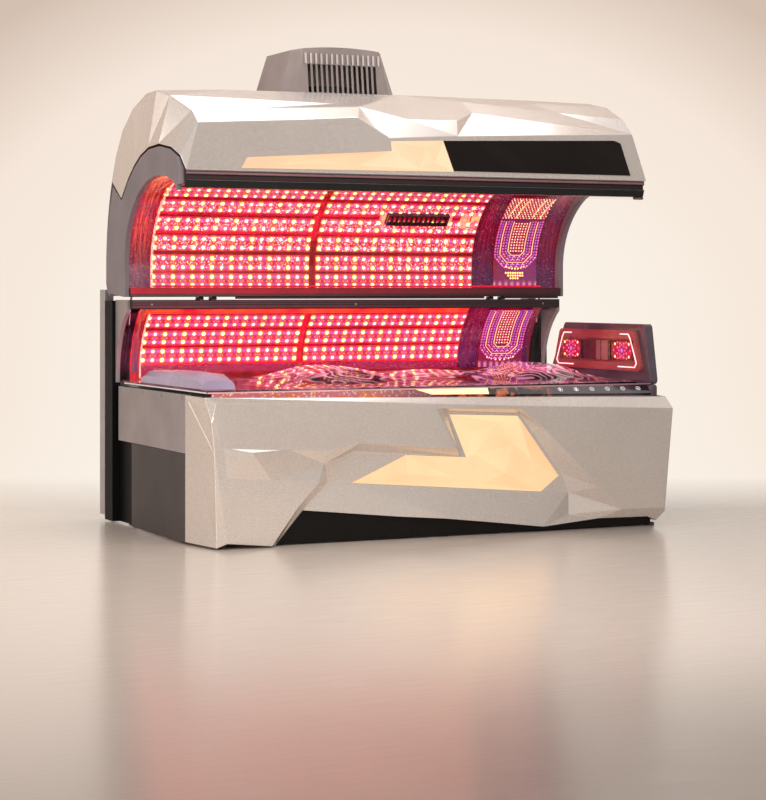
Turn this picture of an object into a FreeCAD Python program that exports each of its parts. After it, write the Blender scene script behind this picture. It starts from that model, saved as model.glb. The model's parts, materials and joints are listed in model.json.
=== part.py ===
import FreeCAD, Part
import math
import os
import re
import Sketcher
from FreeCAD import Placement, Rotation, Vector

# Clamshell tanning bed with a lamp bench, a fixed lamp wall and a hinged lamp canopy.
# Millimetres. X runs along the bed towards the head end, Y towards the back, Z up.
# The origin lies on the floor under the middle of the bed's outer box.

SIZES = [
    # Base
    ("base_length", 2300),      # outer faces of the left and right side panels
    ("base_depth", 1404),       # casing front to column covers' back
    ("sheet_wall", 3),          # steel cover panels
    ("moulded_wall", 4),        # painted plastic casings
    ("fit_gap", 0.5),           # between neighbouring covers
    ("seat_gap", 0.3),          # between a piece and the uneven wall that it rests on
    ("tube", 40),               # square frame tube
    ("tube_wall", 3),
    ("foot_radius", 25),
    ("foot_height", 12),
    ("stud_radius", 6),
    ("frame_inset", 60),        # side panels' outer face to the frame's end
    ("frame_low", 45),          # underside of the lower frame rails
    ("frame_drop", 133),        # bench rim to the underside of the upper frame rails
    ("skirt_gap", 8),           # floor to panels and columns
    ("split_height", 390),      # joint between lower and upper side panels
    ("side_drop", 20),          # bench rim to the top of the side panels
    ("fold", 25),               # width of the side panels' folded edges
    ("service_front", 265),     # front edge of the service recess
    ("plinth_setback", 52),     # casing front to the plinth's face
    ("plinth_height", 165),
    ("plinth_left_inset", 115),
    ("plinth_right_inset", 90),
    # Columns at the back corners
    ("column_overhang", 15),    # columns stand proud of the side panels
    ("column_depth", 114),
    ("cover_depth", 85),        # column covers behind the columns
    ("channel_width", 44),
    ("channel_wall", 4),
    ("column_drop", 4),         # seam rail's top to the columns' top
    ("cover_rise", 48),         # seam rail's top to the covers' top
    # Front casing
    ("casing_drop_left", 36),   # bench rim to the casing's top edge at the foot end
    ("casing_drop_right", 119),  # the same at the head end
    ("casing_end_depth", 250),  # length of the casing's returns
    ("gem_relief", 18),         # relief of the faceted field
    ("recess_depth", 34),       # light panel's field behind the casing face
    ("flange", 12),             # overlap of inserted panels behind their openings
    # Bench
    ("rim_height", 663),
    ("rim_setback_left", 12),   # casing front to the bench's front edge at the foot end
    ("rim_setback_right", 147),  # the same at the head end
    ("bench_hinge_setback", 32),  # columns' front to the bench's service hinge line
    ("bench_hinge_reach", 7),   # hinge line to the bench's back edge
    ("bench_hinge_drop", 11),   # bench rim to the hinge line
    ("bench_left_inset", 10),
    ("bench_right_inset", 105),
    ("rim_lead", 4),            # acrylic's front edge over the bench frame
    ("rim_width", 24),
    ("rim_thickness", 18),
    ("cross_bar", 12),          # width of the bars under the acrylic
    ("acrylic", 6),             # acrylic sheet thickness
    ("bench_rise", 80),         # height of the moulded contour over the rim
    ("tray_board_pitch", 155),  # spacing of the lamp boards under the bench
    ("rest_length", 800),       # foot rest along Y
    ("rest_width", 150),
    ("rest_height", 70),
    # Lamp wall and seam
    ("wall_height", 381),       # bench rim to the seam rail's top
    ("wall_radius", 368),
    ("wall_setback", 378),      # columns' front to the centre of the wall's arc
    ("wall_centre_rise", 27),   # bench rim to the centre of the wall's arc
    ("wall_sweep", 53),         # degrees of the wall's arc over the bench
    ("wall_dip", 5),            # degrees of the wall's arc below its centre
    ("end_plate", 20),          # thickness of the wall's end plates
    ("board_gap", 30),          # acrylic face to lamp boards
    ("board_wall", 8),
    ("board_height", 78),
    ("reflector_wall", 2),
    ("led_left_inset", 125),    # foot end of the lamp field
    ("led_right_inset", 495),   # head end of the lamp field
    ("led_split", -209),        # gap between the two lamp fields
    ("split_gap", 34),
    ("face_inset", 250),        # middle of the face tanners
    ("face_width", 250),
    ("rail_depth", 30),
    ("rail_height", 42),
    ("hinge_setback", 185),     # columns' front to the seam hinge line
    ("hinge_rise", 7),          # seam rail's top to the hinge line
    ("pin_radius", 3),
    ("knuckle_radius", 6.6),
    ("knuckle_length", 36),
    ("hinge_pitch", 65),        # knuckle pair spacing
    ("hinge_inset", 383),       # side panel to the middle of each hinge's knuckles
    ("running_gap", 0.3),
    # Canopy, measured from the hinge line
    ("canopy_overhang", 14),    # end caps' outer face beyond the side panels
    ("cap_wall", 26),
    ("arch_back", 15),          # vertical inner face of the arch
    ("arch_spring_rise", 149),  # where the arch starts to curve
    ("arch_reach", 448),        # centre of the arch
    ("arch_rise", 395),
    ("arch_drop", 90),
    ("arch_front_reach", 250),
    ("arch_lip_rise", 469),     # front edge of the acrylic
    ("lamp_lip_rise", 509),     # front edge of the reflector, behind the front rail
    ("canopy_gap", 7),          # hinge line to the canopy's underside
    ("canopy_back_reach", 285),
    ("fascia_reach", 758),
    ("fascia_rise", 556),
    ("rail_drop", 76),          # front rail below the fascia
    ("seam_rise", 549),         # joint between the shell and the back cover
    ("seam_reach", 197),
    # Exhaust duct
    ("duct_x", -158),
    ("duct_half_base", 305),
    ("duct_half_top", 231),
    ("duct_reach", 128),        # hinge line forward to the duct's shoulders
    ("duct_back_reach", 182),
    ("duct_rise", 1163),
    ("duct_crown", 20),
    ("duct_wall", 4),
    ("grille_half_base", 245),
    ("grille_half_top", 195),
    ("slot_count", 14),
    ("slot_width", 15),
    ("slot_pitch", 26),
    # Fans
    ("exhaust_radius", 125),
    ("exhaust_reach", 14),
    ("exhaust_rise", 951),
    ("fan_radius", 75),
    ("fan_depth", 40),
    ("blade_count", 7),
    ("base_fan_x", 320),
    ("base_fan_z", 266),
    # Counterbalance springs
    ("spring_inset", 60),       # side panels' outer face to the springs
    ("spring_foot_reach", 57),  # columns' front to the lower pins
    ("spring_foot_drop", 43),   # bench rim to the lower pins
    ("spring_head_reach", 122),  # hinge line to the upper pins
    ("spring_head_rise", 39),
    ("spring_body", 300),
    ("spring_body_radius", 12),
    ("spring_rod_radius", 5),
    ("spring_eye", 12),         # radius of the rod's eye
    ("spring_eye_wall", 10.4),
    ("spring_pin_radius", 6),
    # Head-end shoulder tanner
    ("pod_inset", 80),          # side panel to the glazed face
    ("pod_depth", 62),
    ("pod_plate_wall", 20),
    ("pod_skirt_drop", 13),     # bench rim to the joint between hood and feet
    ("pod_rise", 267),          # bench rim to the hood's top
    ("pod_middle_y", -140),
    # Keys on the control strip
    ("key_radius", 9),
    ("key_proud", 2),
    ("key_depth", 8),
    ("strip_wall", 4),
    ("bevel_share", 0.46),      # width of the casing's top bevel within the slope to the bench
    ("strip_start", 0.58),      # the black control strip's edges within the same slope
    ("strip_end", 0.965),
    ("strip_left_inset", 30),
    ("strip_right_inset", 66),
]

# Places that several pieces share, worked out from the sizes.
PLACES = {
    "frame_half": "base_length/2 - frame_inset",
    "frame_high": "rim_height - frame_drop",
    "side_top": "rim_height - side_drop",
    "side_front": "base_depth/2 - casing_end_depth - fit_gap - seat_gap",
    "plinth_front": "base_depth/2 - plinth_setback",
    "plinth_left": "base_length/2 - plinth_left_inset",
    "plinth_right": "base_length/2 - plinth_right_inset",
    "channel_back": "base_depth/2 - cover_depth",
    "channel_front": "channel_back - column_depth",
    "rail_top": "rim_height + wall_height",
    "column_top": "rail_top - column_drop",
    "cover_top": "rail_top + cover_rise",
    "casing_high": "rim_height - casing_drop_left",
    "casing_low": "rim_height - casing_drop_right",
    "rim_front_left": "base_depth/2 - rim_setback_left",
    "rim_front_right": "base_depth/2 - rim_setback_right",
    "bench_hinge_y": "channel_front - bench_hinge_setback",
    "bench_hinge_z": "rim_height - bench_hinge_drop",
    "bench_back": "bench_hinge_y - bench_hinge_reach",
    "bench_left": "base_length/2 - bench_left_inset",
    "bench_right": "base_length/2 - bench_right_inset",
    "wall_centre_y": "channel_front - wall_setback",
    "wall_centre_z": "rim_height + wall_centre_rise",
    "led_left": "base_length/2 - led_left_inset",
    "led_right": "base_length/2 - led_right_inset",
    "face_x": "base_length/2 - face_inset",
    "hinge_y": "channel_front - hinge_setback",
    "hinge_z": "rail_top + hinge_rise",
    "hinge_x": "base_length/2 - hinge_inset",
    "canopy_half": "base_length/2 + canopy_overhang",
    "arch_y": "hinge_y + arch_back",
    "arch_spring": "hinge_z + arch_spring_rise",
    "arch_centre_y": "hinge_y - arch_reach",
    "arch_lip": "hinge_z + arch_lip_rise",
    "lamp_lip": "hinge_z + lamp_lip_rise",
    "canopy_bottom": "hinge_z + canopy_gap",
    "canopy_back": "hinge_y + canopy_back_reach",
    "fascia_y": "hinge_y - fascia_reach",
    "fascia_z": "hinge_z + fascia_rise",
    "seam_z": "hinge_z + seam_rise",
    "seam_y": "hinge_y + seam_reach",
    "duct_front": "hinge_y - duct_reach",
    "duct_back": "hinge_y + duct_back_reach",
    "duct_top": "hinge_z + duct_rise",
    "exhaust_y": "hinge_y + exhaust_reach",
    "exhaust_level": "hinge_z + exhaust_rise",
    "spring_x": "base_length/2 - spring_inset",
    "spring_foot_y": "channel_front + spring_foot_reach",
    "spring_foot_z": "rim_height - spring_foot_drop",
    "spring_head_y": "hinge_y + spring_head_reach",
    "spring_head_z": "hinge_z + spring_head_rise",
    "pod_plate_x": "base_length/2 - pod_inset",
    "pod_back_x": "pod_plate_x + pod_depth",
    "pod_skirt": "rim_height - pod_skirt_drop",
    "pod_top": "rim_height + pod_rise",
    "strip_left": "base_length/2 - strip_left_inset",
    "strip_right": "base_length/2 - strip_right_inset",
}

# Corners of faceted and bent pieces are drawn for these sizes. They stretch along the bed with
# its length, and shift with the hinge line that carries the canopy.
DRAWN_LENGTH = 2300
DRAWN_HINGE_Y = 318
DRAWN_HINGE_Z = 1051
DRAWN_CASING = 627

doc = FreeCAD.newDocument("tanning_bed")
sheet = doc.addObject("Spreadsheet::Sheet", "sizes")
for row, (alias, value) in enumerate(SIZES, start=1):
    sheet.set(f"A{row}", alias)
    sheet.set(f"B{row}", str(value))
    sheet.setAlias(f"B{row}", alias)
doc.recompute()

# X of each service hinge's fixed knuckle
BENCH_HINGES = ("-bench_left + 420", "-16", "bench_right - 357")

NAMES = {alias for alias, value in SIZES}
NODES = []


def cells(text):
    """The expression with each place spelled out in sizes, and each size pointing into the sheet."""
    def spell(match):
        word = match.group()
        if word in PLACES:
            return f"({cells(PLACES[word])})"
        return f"sizes.{word}" if word in NAMES else word

    return re.sub(r"[a-z][a-z0-9_]*", spell, str(text))


def v(text):
    """The present value of an expression of sizes."""
    result = sheet.evalExpression(cells(text))
    return float(getattr(result, "Value", result))


def along(x):
    """X of a drawn corner on this bed's length."""
    return x * v("base_length") / DRAWN_LENGTH


def aft(y):
    """Y of a drawn canopy corner."""
    return y + v("hinge_y") - DRAWN_HINGE_Y


def up(z):
    """Height of a drawn canopy corner."""
    return z + v("hinge_z") - DRAWN_HINGE_Z


def node(obj, name):
    """Makes obj one of the bed's sub-parts."""
    obj.Label = name
    NODES.append(obj)
    return obj


def box(x0, x1, y0, y1, z0, z1, name="box"):
    """A box between expressions."""
    obj = doc.addObject("Part::Box", name)
    for prop, low, high in (("Length", x0, x1), ("Width", y0, y1), ("Height", z0, z1)):
        obj.setExpression(prop, cells(f"({high}) - ({low})"))
    for axis, low in (("x", x0), ("y", y0), ("z", z0)):
        obj.setExpression(f"Placement.Base.{axis}", cells(low))
    return obj


AXES = {
    "x": Rotation(Vector(0, 1, 0), 90),
    "y": Rotation(Vector(1, 0, 0), -90),
    "z": Rotation(),
}


def cylinder(axis, x, y, z, radius, height, name="cylinder"):
    """A cylinder from a point of expressions along an axis."""
    obj = doc.addObject("Part::Cylinder", name)
    obj.Placement = Placement(Vector(), AXES[axis])
    obj.setExpression("Radius", cells(radius))
    obj.setExpression("Height", cells(height))
    for key, value in (("x", x), ("y", y), ("z", z)):
        obj.setExpression(f"Placement.Base.{key}", cells(value))
    return obj


def cut(base, tool, name="cut"):
    obj = doc.addObject("Part::Cut", name)
    obj.Base = base
    obj.Tool = tool
    return obj


def fuse(shapes, name="fuse"):
    obj = doc.addObject("Part::MultiFuse", name)
    obj.Shapes = shapes
    return obj


def group(shapes, name="group"):
    """Separate solids that share one node."""
    obj = doc.addObject("Part::Compound", name)
    obj.Links = shapes
    return obj


def shaped(shape, name="shape"):
    """A feature whose shape is worked out from the sheet."""
    obj = doc.addObject("Part::Feature", name)
    obj.Shape = shape
    return obj


def square_tube(axis, x, y, z, length):
    """A hollow square tube with open ends; x, y and z are its lowest corner."""
    start = {"x": x, "y": y, "z": z}
    outer = []
    inner = []
    for key in "xyz":
        low = start[key]
        if key == axis:
            outer += [low, f"({low}) + ({length})"]
            inner += [low, f"({low}) + ({length})"]
        else:
            outer += [low, f"({low}) + tube"]
            inner += [f"({low}) + tube_wall", f"({low}) + tube - tube_wall"]
    return cut(box(*outer), box(*inner), "square_tube")


# --- Profiles in the YZ plane, carried along X ---

def prism(wire, x0, x1):
    """The closed YZ wire, drawn at X 0, as a solid from x0 to x1."""
    face = Part.Face(wire)
    face.translate(Vector(x0, 0, 0))
    return face.extrude(Vector(x1 - x0, 0, 0))


def yz(y, z):
    return Vector(0, y, z)


def polygon(points):
    return Part.makePolygon([yz(*p) for p in points] + [yz(*points[0])])


def quarter(y, z, along, up, y_sign, start=0):
    """Quarter of an ellipse about (y, z), from its side to its top; y_sign picks the side.

    It begins at the height start over its centre."""
    if abs(along) >= abs(up):
        major, minor = along, up
        main = Vector(0, y_sign, 0)
        curve = Part.Ellipse(yz(y + y_sign * major, z), yz(y, z + minor), yz(y, z))
    else:
        major, minor = up, along
        curve = Part.Ellipse(yz(y, z + major), yz(y + y_sign * minor, z), yz(y, z))
    side = yz(y + y_sign * along * math.sqrt(1 - (start / up) ** 2), z + start)
    top = yz(y, z + up)
    first = curve.parameter(side)
    last = curve.parameter(top)
    if last < first:
        first, last = last, first
    if last - first > math.pi:
        first, last = last, first + 2 * math.pi
    return curve.toShape(first, last)


def arch_edges(offset, lip="arch_lip", foot="canopy_bottom + rail_height"):
    """The canopy's inner arch, moved outwards by offset: back face, over the top, to the front lip."""
    back = v("arch_y") + offset
    spring = v("arch_spring")
    mid = v("arch_centre_y")
    top_reach = back - mid
    rise = v("arch_rise") + offset
    front_reach = v("arch_front_reach") + offset
    drop = v("arch_drop") + offset
    straight = Part.makeLine(yz(back, v(foot)), yz(back, spring))
    over = quarter(mid, spring, top_reach, rise, 1)
    low = spring + rise - drop
    front = quarter(mid, low, front_reach, drop, -1, v(lip) - low)
    return [straight, over, front]


def strip_between(inner_edges, outer_edges):
    """A closed wire between two open curves that run side by side."""
    inner = Part.Wire(Part.__sortEdges__(inner_edges))
    outer = Part.Wire(Part.__sortEdges__(outer_edges))
    ends = []
    for index in (0, -1):
        pick = inner.OrderedVertexes[index].Point
        mates = [w.Point for w in (outer.OrderedVertexes[0], outer.OrderedVertexes[-1])]
        ends.append(Part.makeLine(pick, min(mates, key=pick.distanceToPoint)))
    return Part.Wire(Part.__sortEdges__(inner_edges + outer_edges + ends))


def arch_sheet(offset, wall, x0, x1, lip="arch_lip"):
    """A sheet that follows the arch, wall thick, outwards from offset."""
    return prism(strip_between(arch_edges(offset, lip), arch_edges(offset + wall, lip)), x0, x1)


def wall_edges(offset):
    """The lamp wall's arc, moved outwards by offset, from the bench up to the seam rail."""
    radius = v("wall_radius") + offset
    centre = (v("wall_centre_y"), v("wall_centre_z"))
    points = []
    for share in (0, 0.5, 1):
        angle = math.radians(-v("wall_dip") + (v("wall_sweep") + v("wall_dip")) * share)
        points.append(yz(centre[0] + radius * math.cos(angle), centre[1] + radius * math.sin(angle)))
    return [Part.Arc(*points).toShape()]


def wall_sheet(offset, wall, x0, x1):
    return prism(strip_between(wall_edges(offset), wall_edges(offset + wall)), x0, x1)


# --- Faceted shells ---

def face_of(points):
    return Part.Face(Part.makePolygon(list(points) + [points[0]]))


def facet_shell(points, facets, wall):
    """A closed solid from outward facets, each a loop of point names, thickened inwards by wall."""
    triangles = []
    for facet in facets:
        for index in range(1, len(facet) - 1):
            triangles.append((facet[0], facet[index], facet[index + 1]))
    place = {name: Vector(*xyz) for name, xyz in points.items()}
    normals = {name: [] for name in place}
    for one, two, three in triangles:
        normal = (place[two] - place[one]).cross(place[three] - place[one])
        normal.normalize()
        for name in (one, two, three):
            if all(normal.dot(other) < 0.999 for other in normals[name]):
                normals[name].append(normal)
    inner = {}
    for name, around in normals.items():
        mean = Vector()
        for normal in around:
            mean += normal
        mean.normalize()
        slope = sum(mean.dot(normal) for normal in around) / len(around)
        inner[name] = place[name] - mean * (wall / max(slope, 0.35))
    edges = {}
    for one, two, three in triangles:
        for pair in ((one, two), (two, three), (three, one)):
            edges[pair] = True
    faces = []
    for one, two, three in triangles:
        faces.append(face_of((place[one], place[two], place[three])))
        faces.append(face_of((inner[three], inner[two], inner[one])))
    for one, two in edges:
        if (two, one) not in edges:
            faces.append(face_of((place[two], place[one], inner[one])))
            faces.append(face_of((place[two], inner[one], inner[two])))
    shell = Part.Shell(faces)
    solid = Part.Solid(shell)
    if solid.Volume < 0:
        solid.reverse()
    return solid


# --- PartDesign bodies with bound sketches ---

def plane_of(body, role):
    return next(f for f in body.Origin.OriginFeatures if f.Role == role)


def sketch_on(body, role, name="sketch"):
    sketch = body.newObject("Sketcher::SketchObject", name)
    sketch.AttachmentSupport = [(plane_of(body, role), "")]
    sketch.MapMode = "FlatFace"
    return sketch


def bound_polygon(sketch, corners):
    """A closed outline whose corners are pairs of expressions, each held by its own two dimensions."""
    numbers = [(v(a), v(b)) for a, b in corners]
    first = sketch.GeometryCount
    count = len(corners)
    for index, (a, b) in enumerate(numbers):
        c, d = numbers[(index + 1) % count]
        sketch.addGeometry(Part.LineSegment(Vector(a, b, 0), Vector(c, d, 0)))
    for index in range(count):
        following = first + (index + 1) % count
        sketch.addConstraint(Sketcher.Constraint("Coincident", first + index, 2, following, 1))
    for index, (a, b) in enumerate(corners):
        for kind, text in (("DistanceX", a), ("DistanceY", b)):
            number = sketch.addConstraint(Sketcher.Constraint(kind, -1, 1, first + index, 1, v(text)))
            sketch.setExpression(f"Constraints[{number}]", cells(text))


def bound_circle(sketch, a, b, radius):
    index = sketch.addGeometry(Part.Circle(Vector(v(a), v(b), 0), Vector(0, 0, 1), v(radius)))
    for kind, text in (("DistanceX", a), ("DistanceY", b)):
        number = sketch.addConstraint(Sketcher.Constraint(kind, -1, 1, index, 3, v(text)))
        sketch.setExpression(f"Constraints[{number}]", cells(text))
    number = sketch.addConstraint(Sketcher.Constraint("Radius", index, v(radius)))
    sketch.setExpression(f"Constraints[{number}]", cells(radius))


def pad(body, sketch, length):
    feature = body.newObject("PartDesign::Pad", "pad")
    feature.Profile = sketch
    feature.setExpression("Length", cells(length))
    return feature


def place(obj, x=0, y=0, z=0, rotation=None):
    if rotation is not None:
        obj.Placement = Placement(Vector(), rotation)
    for key, text in (("x", x), ("y", y), ("z", z)):
        obj.setExpression(f"Placement.Base.{key}", cells(text))
    return obj


# Sketch X, sketch Y and pad direction as the bed's X, Y and Z for an upright profile,
# and the same for a profile that is drawn in the YZ plane and padded along X.
ALONG_X = Rotation(Vector(0, 1, 0), Vector(0, 0, 1), Vector(1, 0, 0), "XYZ")


def bar_along_x(name, corners, x0, x1):
    """A bar with a YZ outline, from x0 to x1."""
    body = doc.addObject("PartDesign::Body", name)
    sketch = sketch_on(body, "XY_Plane")
    bound_polygon(sketch, corners)
    pad(body, sketch, f"({x1}) - ({x0})")
    return place(body, x=x0, rotation=ALONG_X)


def bar_up(name, corners, z0, z1):
    """A column with an XY outline, from z0 to z1."""
    body = doc.addObject("PartDesign::Body", name)
    sketch = sketch_on(body, "XY_Plane")
    bound_polygon(sketch, corners)
    pad(body, sketch, f"({z1}) - ({z0})")
    return place(body, z=z0)


# --- Base frame, feet and floor pan ---

def build_frame():
    front = "-plinth_front + sheet_wall"
    back = "channel_front - 60"
    run = f"({back}) - ({front}) - tube"
    tubes = []
    for level in ("frame_low", "frame_high"):
        for y in (front, back):
            half = "frame_half" if y == front else "base_length/2 + column_overhang - channel_width"
            tubes.append(square_tube("x", f"-({half})", y, level, f"2*({half})"))
        for share in ("-1", "0", "1"):
            x = f"{share}*(frame_half - tube/2) - tube/2"
            tubes.append(square_tube("y", x, f"{front} + tube", level, run))
    for share in ("-1", "0", "1"):
        for y in (front, back):
            x = f"{share}*(frame_half - tube/2) - tube/2"
            tubes.append(square_tube("z", x, y, "frame_low + tube", "frame_high - frame_low - tube"))
    for x in BENCH_HINGES:
        post = box(x, f"{x} + 16",
                   "bench_hinge_y + 5", "bench_hinge_y + 11", "frame_high + tube", "bench_hinge_z")
        barrel = cylinder("x", x, "bench_hinge_y", "bench_hinge_z", "knuckle_radius", "16")
        bore = cylinder("x", f"{x} - 1", "bench_hinge_y", "bench_hinge_z", "pin_radius + 0.05", "18")
        tubes.append(cut(fuse([post, barrel]), bore))
        tubes.append(cylinder("x", x, "bench_hinge_y", "bench_hinge_z", "pin_radius", "32"))
    node(group(tubes), "base_frame")
    feet = []
    for x in ("-frame_half + tube/2", "0", "frame_half - tube/2"):
        for y in (f"{front} + tube/2 + 8", f"{back} + tube/2"):
            disc = cylinder("z", x, y, "0", "foot_radius", "foot_height")
            stud = cylinder("z", x, y, "0", "stud_radius", "frame_low")
            feet.append(fuse([disc, stud]))
    node(group(feet), "levelling_feet")
    low = "frame_low + tube"
    bays = (("-frame_half + tube + 1", "-tube/2 - 1"), ("tube/2 + 1", "frame_half - tube - 1"))
    pans = [box(x0, x1, f"{front} + 4", f"{back} + tube - 4", low, f"{low} + sheet_wall") for x0, x1 in bays]
    node(group(pans), "floor_pan")
    high = "frame_high + tube"
    tray = box("-frame_half", "frame_half", f"{front} + 4", f"{back} + 8", high, f"{high} + sheet_wall")
    shelf = box("frame_half - 1", "pod_back_x + 6", "pod_middle_y - 260", "pod_middle_y + 260",
                high, f"{high} + sheet_wall")
    node(fuse([tray, shelf]), "bench_lamp_tray")
    boards = []
    for row in range(6):
        y = f"-plinth_front + 110 + {row}*tray_board_pitch"
        boards.append(box("-led_left", "frame_half - 110", y, f"{y} + board_height", f"{high} + sheet_wall",
                          f"{high} + sheet_wall + board_wall"))
    node(group(boards), "bench_led_modules")


# --- Plinth, side panels, columns and back cover ---

def build_covers():
    front = "-plinth_front"
    rear = "-plinth_front + sheet_wall"
    skirt = bar_up("plinth", [
        ("-plinth_left", front), ("plinth_right", front), ("plinth_right", rear), ("-plinth_left", rear),
    ], "skirt_gap - 2", "plinth_height")
    node(skirt, "plinth")
    for side, sign in (("left", "-1"), ("right", "1")):
        face = f"{sign}*base_length/2"
        inner = f"{sign}*(base_length/2 - sheet_wall)"
        fold = f"{sign}*(base_length/2 - fold)"

        def folded(name, y0, y1, z0, z1):
            """A sheet panel whose front and back edges are folded inwards."""
            corners = [
                (fold, y0), (face, y0), (face, y1), (fold, y1),
                (fold, f"{y1} - sheet_wall"), (inner, f"{y1} - sheet_wall"),
                (inner, f"{y0} + sheet_wall"), (fold, f"{y0} + sheet_wall"),
            ]
            return node(bar_up(name, corners, z0, z1), name)

        folded(f"{side}_lower_panel", "-side_front", "service_front", "skirt_gap", "split_height - fit_gap")
        folded(f"{side}_upper_panel", "-side_front", "channel_front - 46", "split_height + fit_gap",
               "side_top")
        outer = f"{sign}*(base_length/2 + column_overhang)"
        web = f"{sign}*(base_length/2 + column_overhang - channel_width)"
        skin = f"{sign}*(base_length/2 + column_overhang - channel_wall)"
        web_in = f"{sign}*(base_length/2 + column_overhang - channel_width + channel_wall)"
        tube = bar_up(f"{side}_tube", [
            (outer, "channel_front"), (outer, "channel_back"), (web, "channel_back"), (web, "channel_front"),
        ], "skirt_gap", "column_top")
        hollow = bar_up(f"{side}_hollow", [
            (skin, "channel_front + channel_wall"), (skin, "channel_back - channel_wall"),
            (web_in, "channel_back - channel_wall"), (web_in, "channel_front + channel_wall"),
        ], "skirt_gap - 1", "column_top + 1")
        low, high = (web, web_in) if sign == "1" else (web_in, web)
        plate = box(low, high, "service_front - 10", "channel_front", "skirt_gap", "side_top")
        start = web if sign == "-1" else "spring_x - spring_eye"
        pin = cylinder("x", start, "spring_foot_y", "spring_foot_z", "spring_pin_radius",
                       "base_length/2 + column_overhang - channel_width - spring_x + spring_eye")
        node(group([cut(tube, hollow), plate, pin]), f"{side}_column")
    covers = []
    for sign in ("-1", "1"):
        outer = f"{sign}*(base_length/2 + column_overhang)"
        inner = f"{sign}*(base_length/2 + column_overhang - channel_width)"
        covers.append(bar_up("column_cover", [
            (inner, "channel_back + fit_gap"), (outer, "channel_back + fit_gap"),
            (outer, "base_depth/2 - 10"), (f"{sign}*(base_length/2 + column_overhang - 10)", "base_depth/2"),
            (inner, "base_depth/2"),
        ], "skirt_gap + 20", "cover_top"))
    node(group(covers), "column_covers")
    half = "base_length/2 + column_overhang - channel_width - fit_gap"
    sheet_back = box(f"-({half})", half, "channel_back - channel_wall - sheet_wall",
                     "channel_back - channel_wall", "frame_low", "column_top")
    vents = [
        box("-480 + 320*%d" % column, "-160 + 320*%d" % column, "channel_back - 20", "channel_back + 20",
            "160 + 30*%d" % row, "172 + 30*%d" % row)
        for column in (0, 2) for row in range(8)
    ]
    node(cut(sheet_back, fuse(vents)), "back_cover")


# --- Front casing with its faceted field and light panel ---

def rim_front(x):
    """Y of the bench's front edge at x: it runs forward towards the foot end."""
    share = (x + v("base_length/2")) / v("base_length")
    return -v("rim_front_left") + share * (v("rim_front_left") - v("rim_front_right"))


def casing_top(x):
    """Height of the casing's top edge at x: it falls towards the head end."""
    share = (x + v("base_length/2")) / v("base_length")
    return v("casing_high") + share * v("casing_low - casing_high")


def strip_point(x, share, lift=0):
    """A point on the sloping strip: share 0 at the casing edge and 1 at the bench rim."""
    share_x = (x + v("base_length/2")) / v("base_length")
    outer = Vector(x, v("-base_depth/2") + 8 * (1 - share_x), casing_top(x))
    inner = Vector(x, rim_front(x) - 5.5, v("rim_height") - 6)
    middle = outer + (inner - outer) * share
    slope = inner - outer
    normal = Vector(0, -slope.z, slope.y)
    normal.normalize()
    return middle + normal * lift


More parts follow.
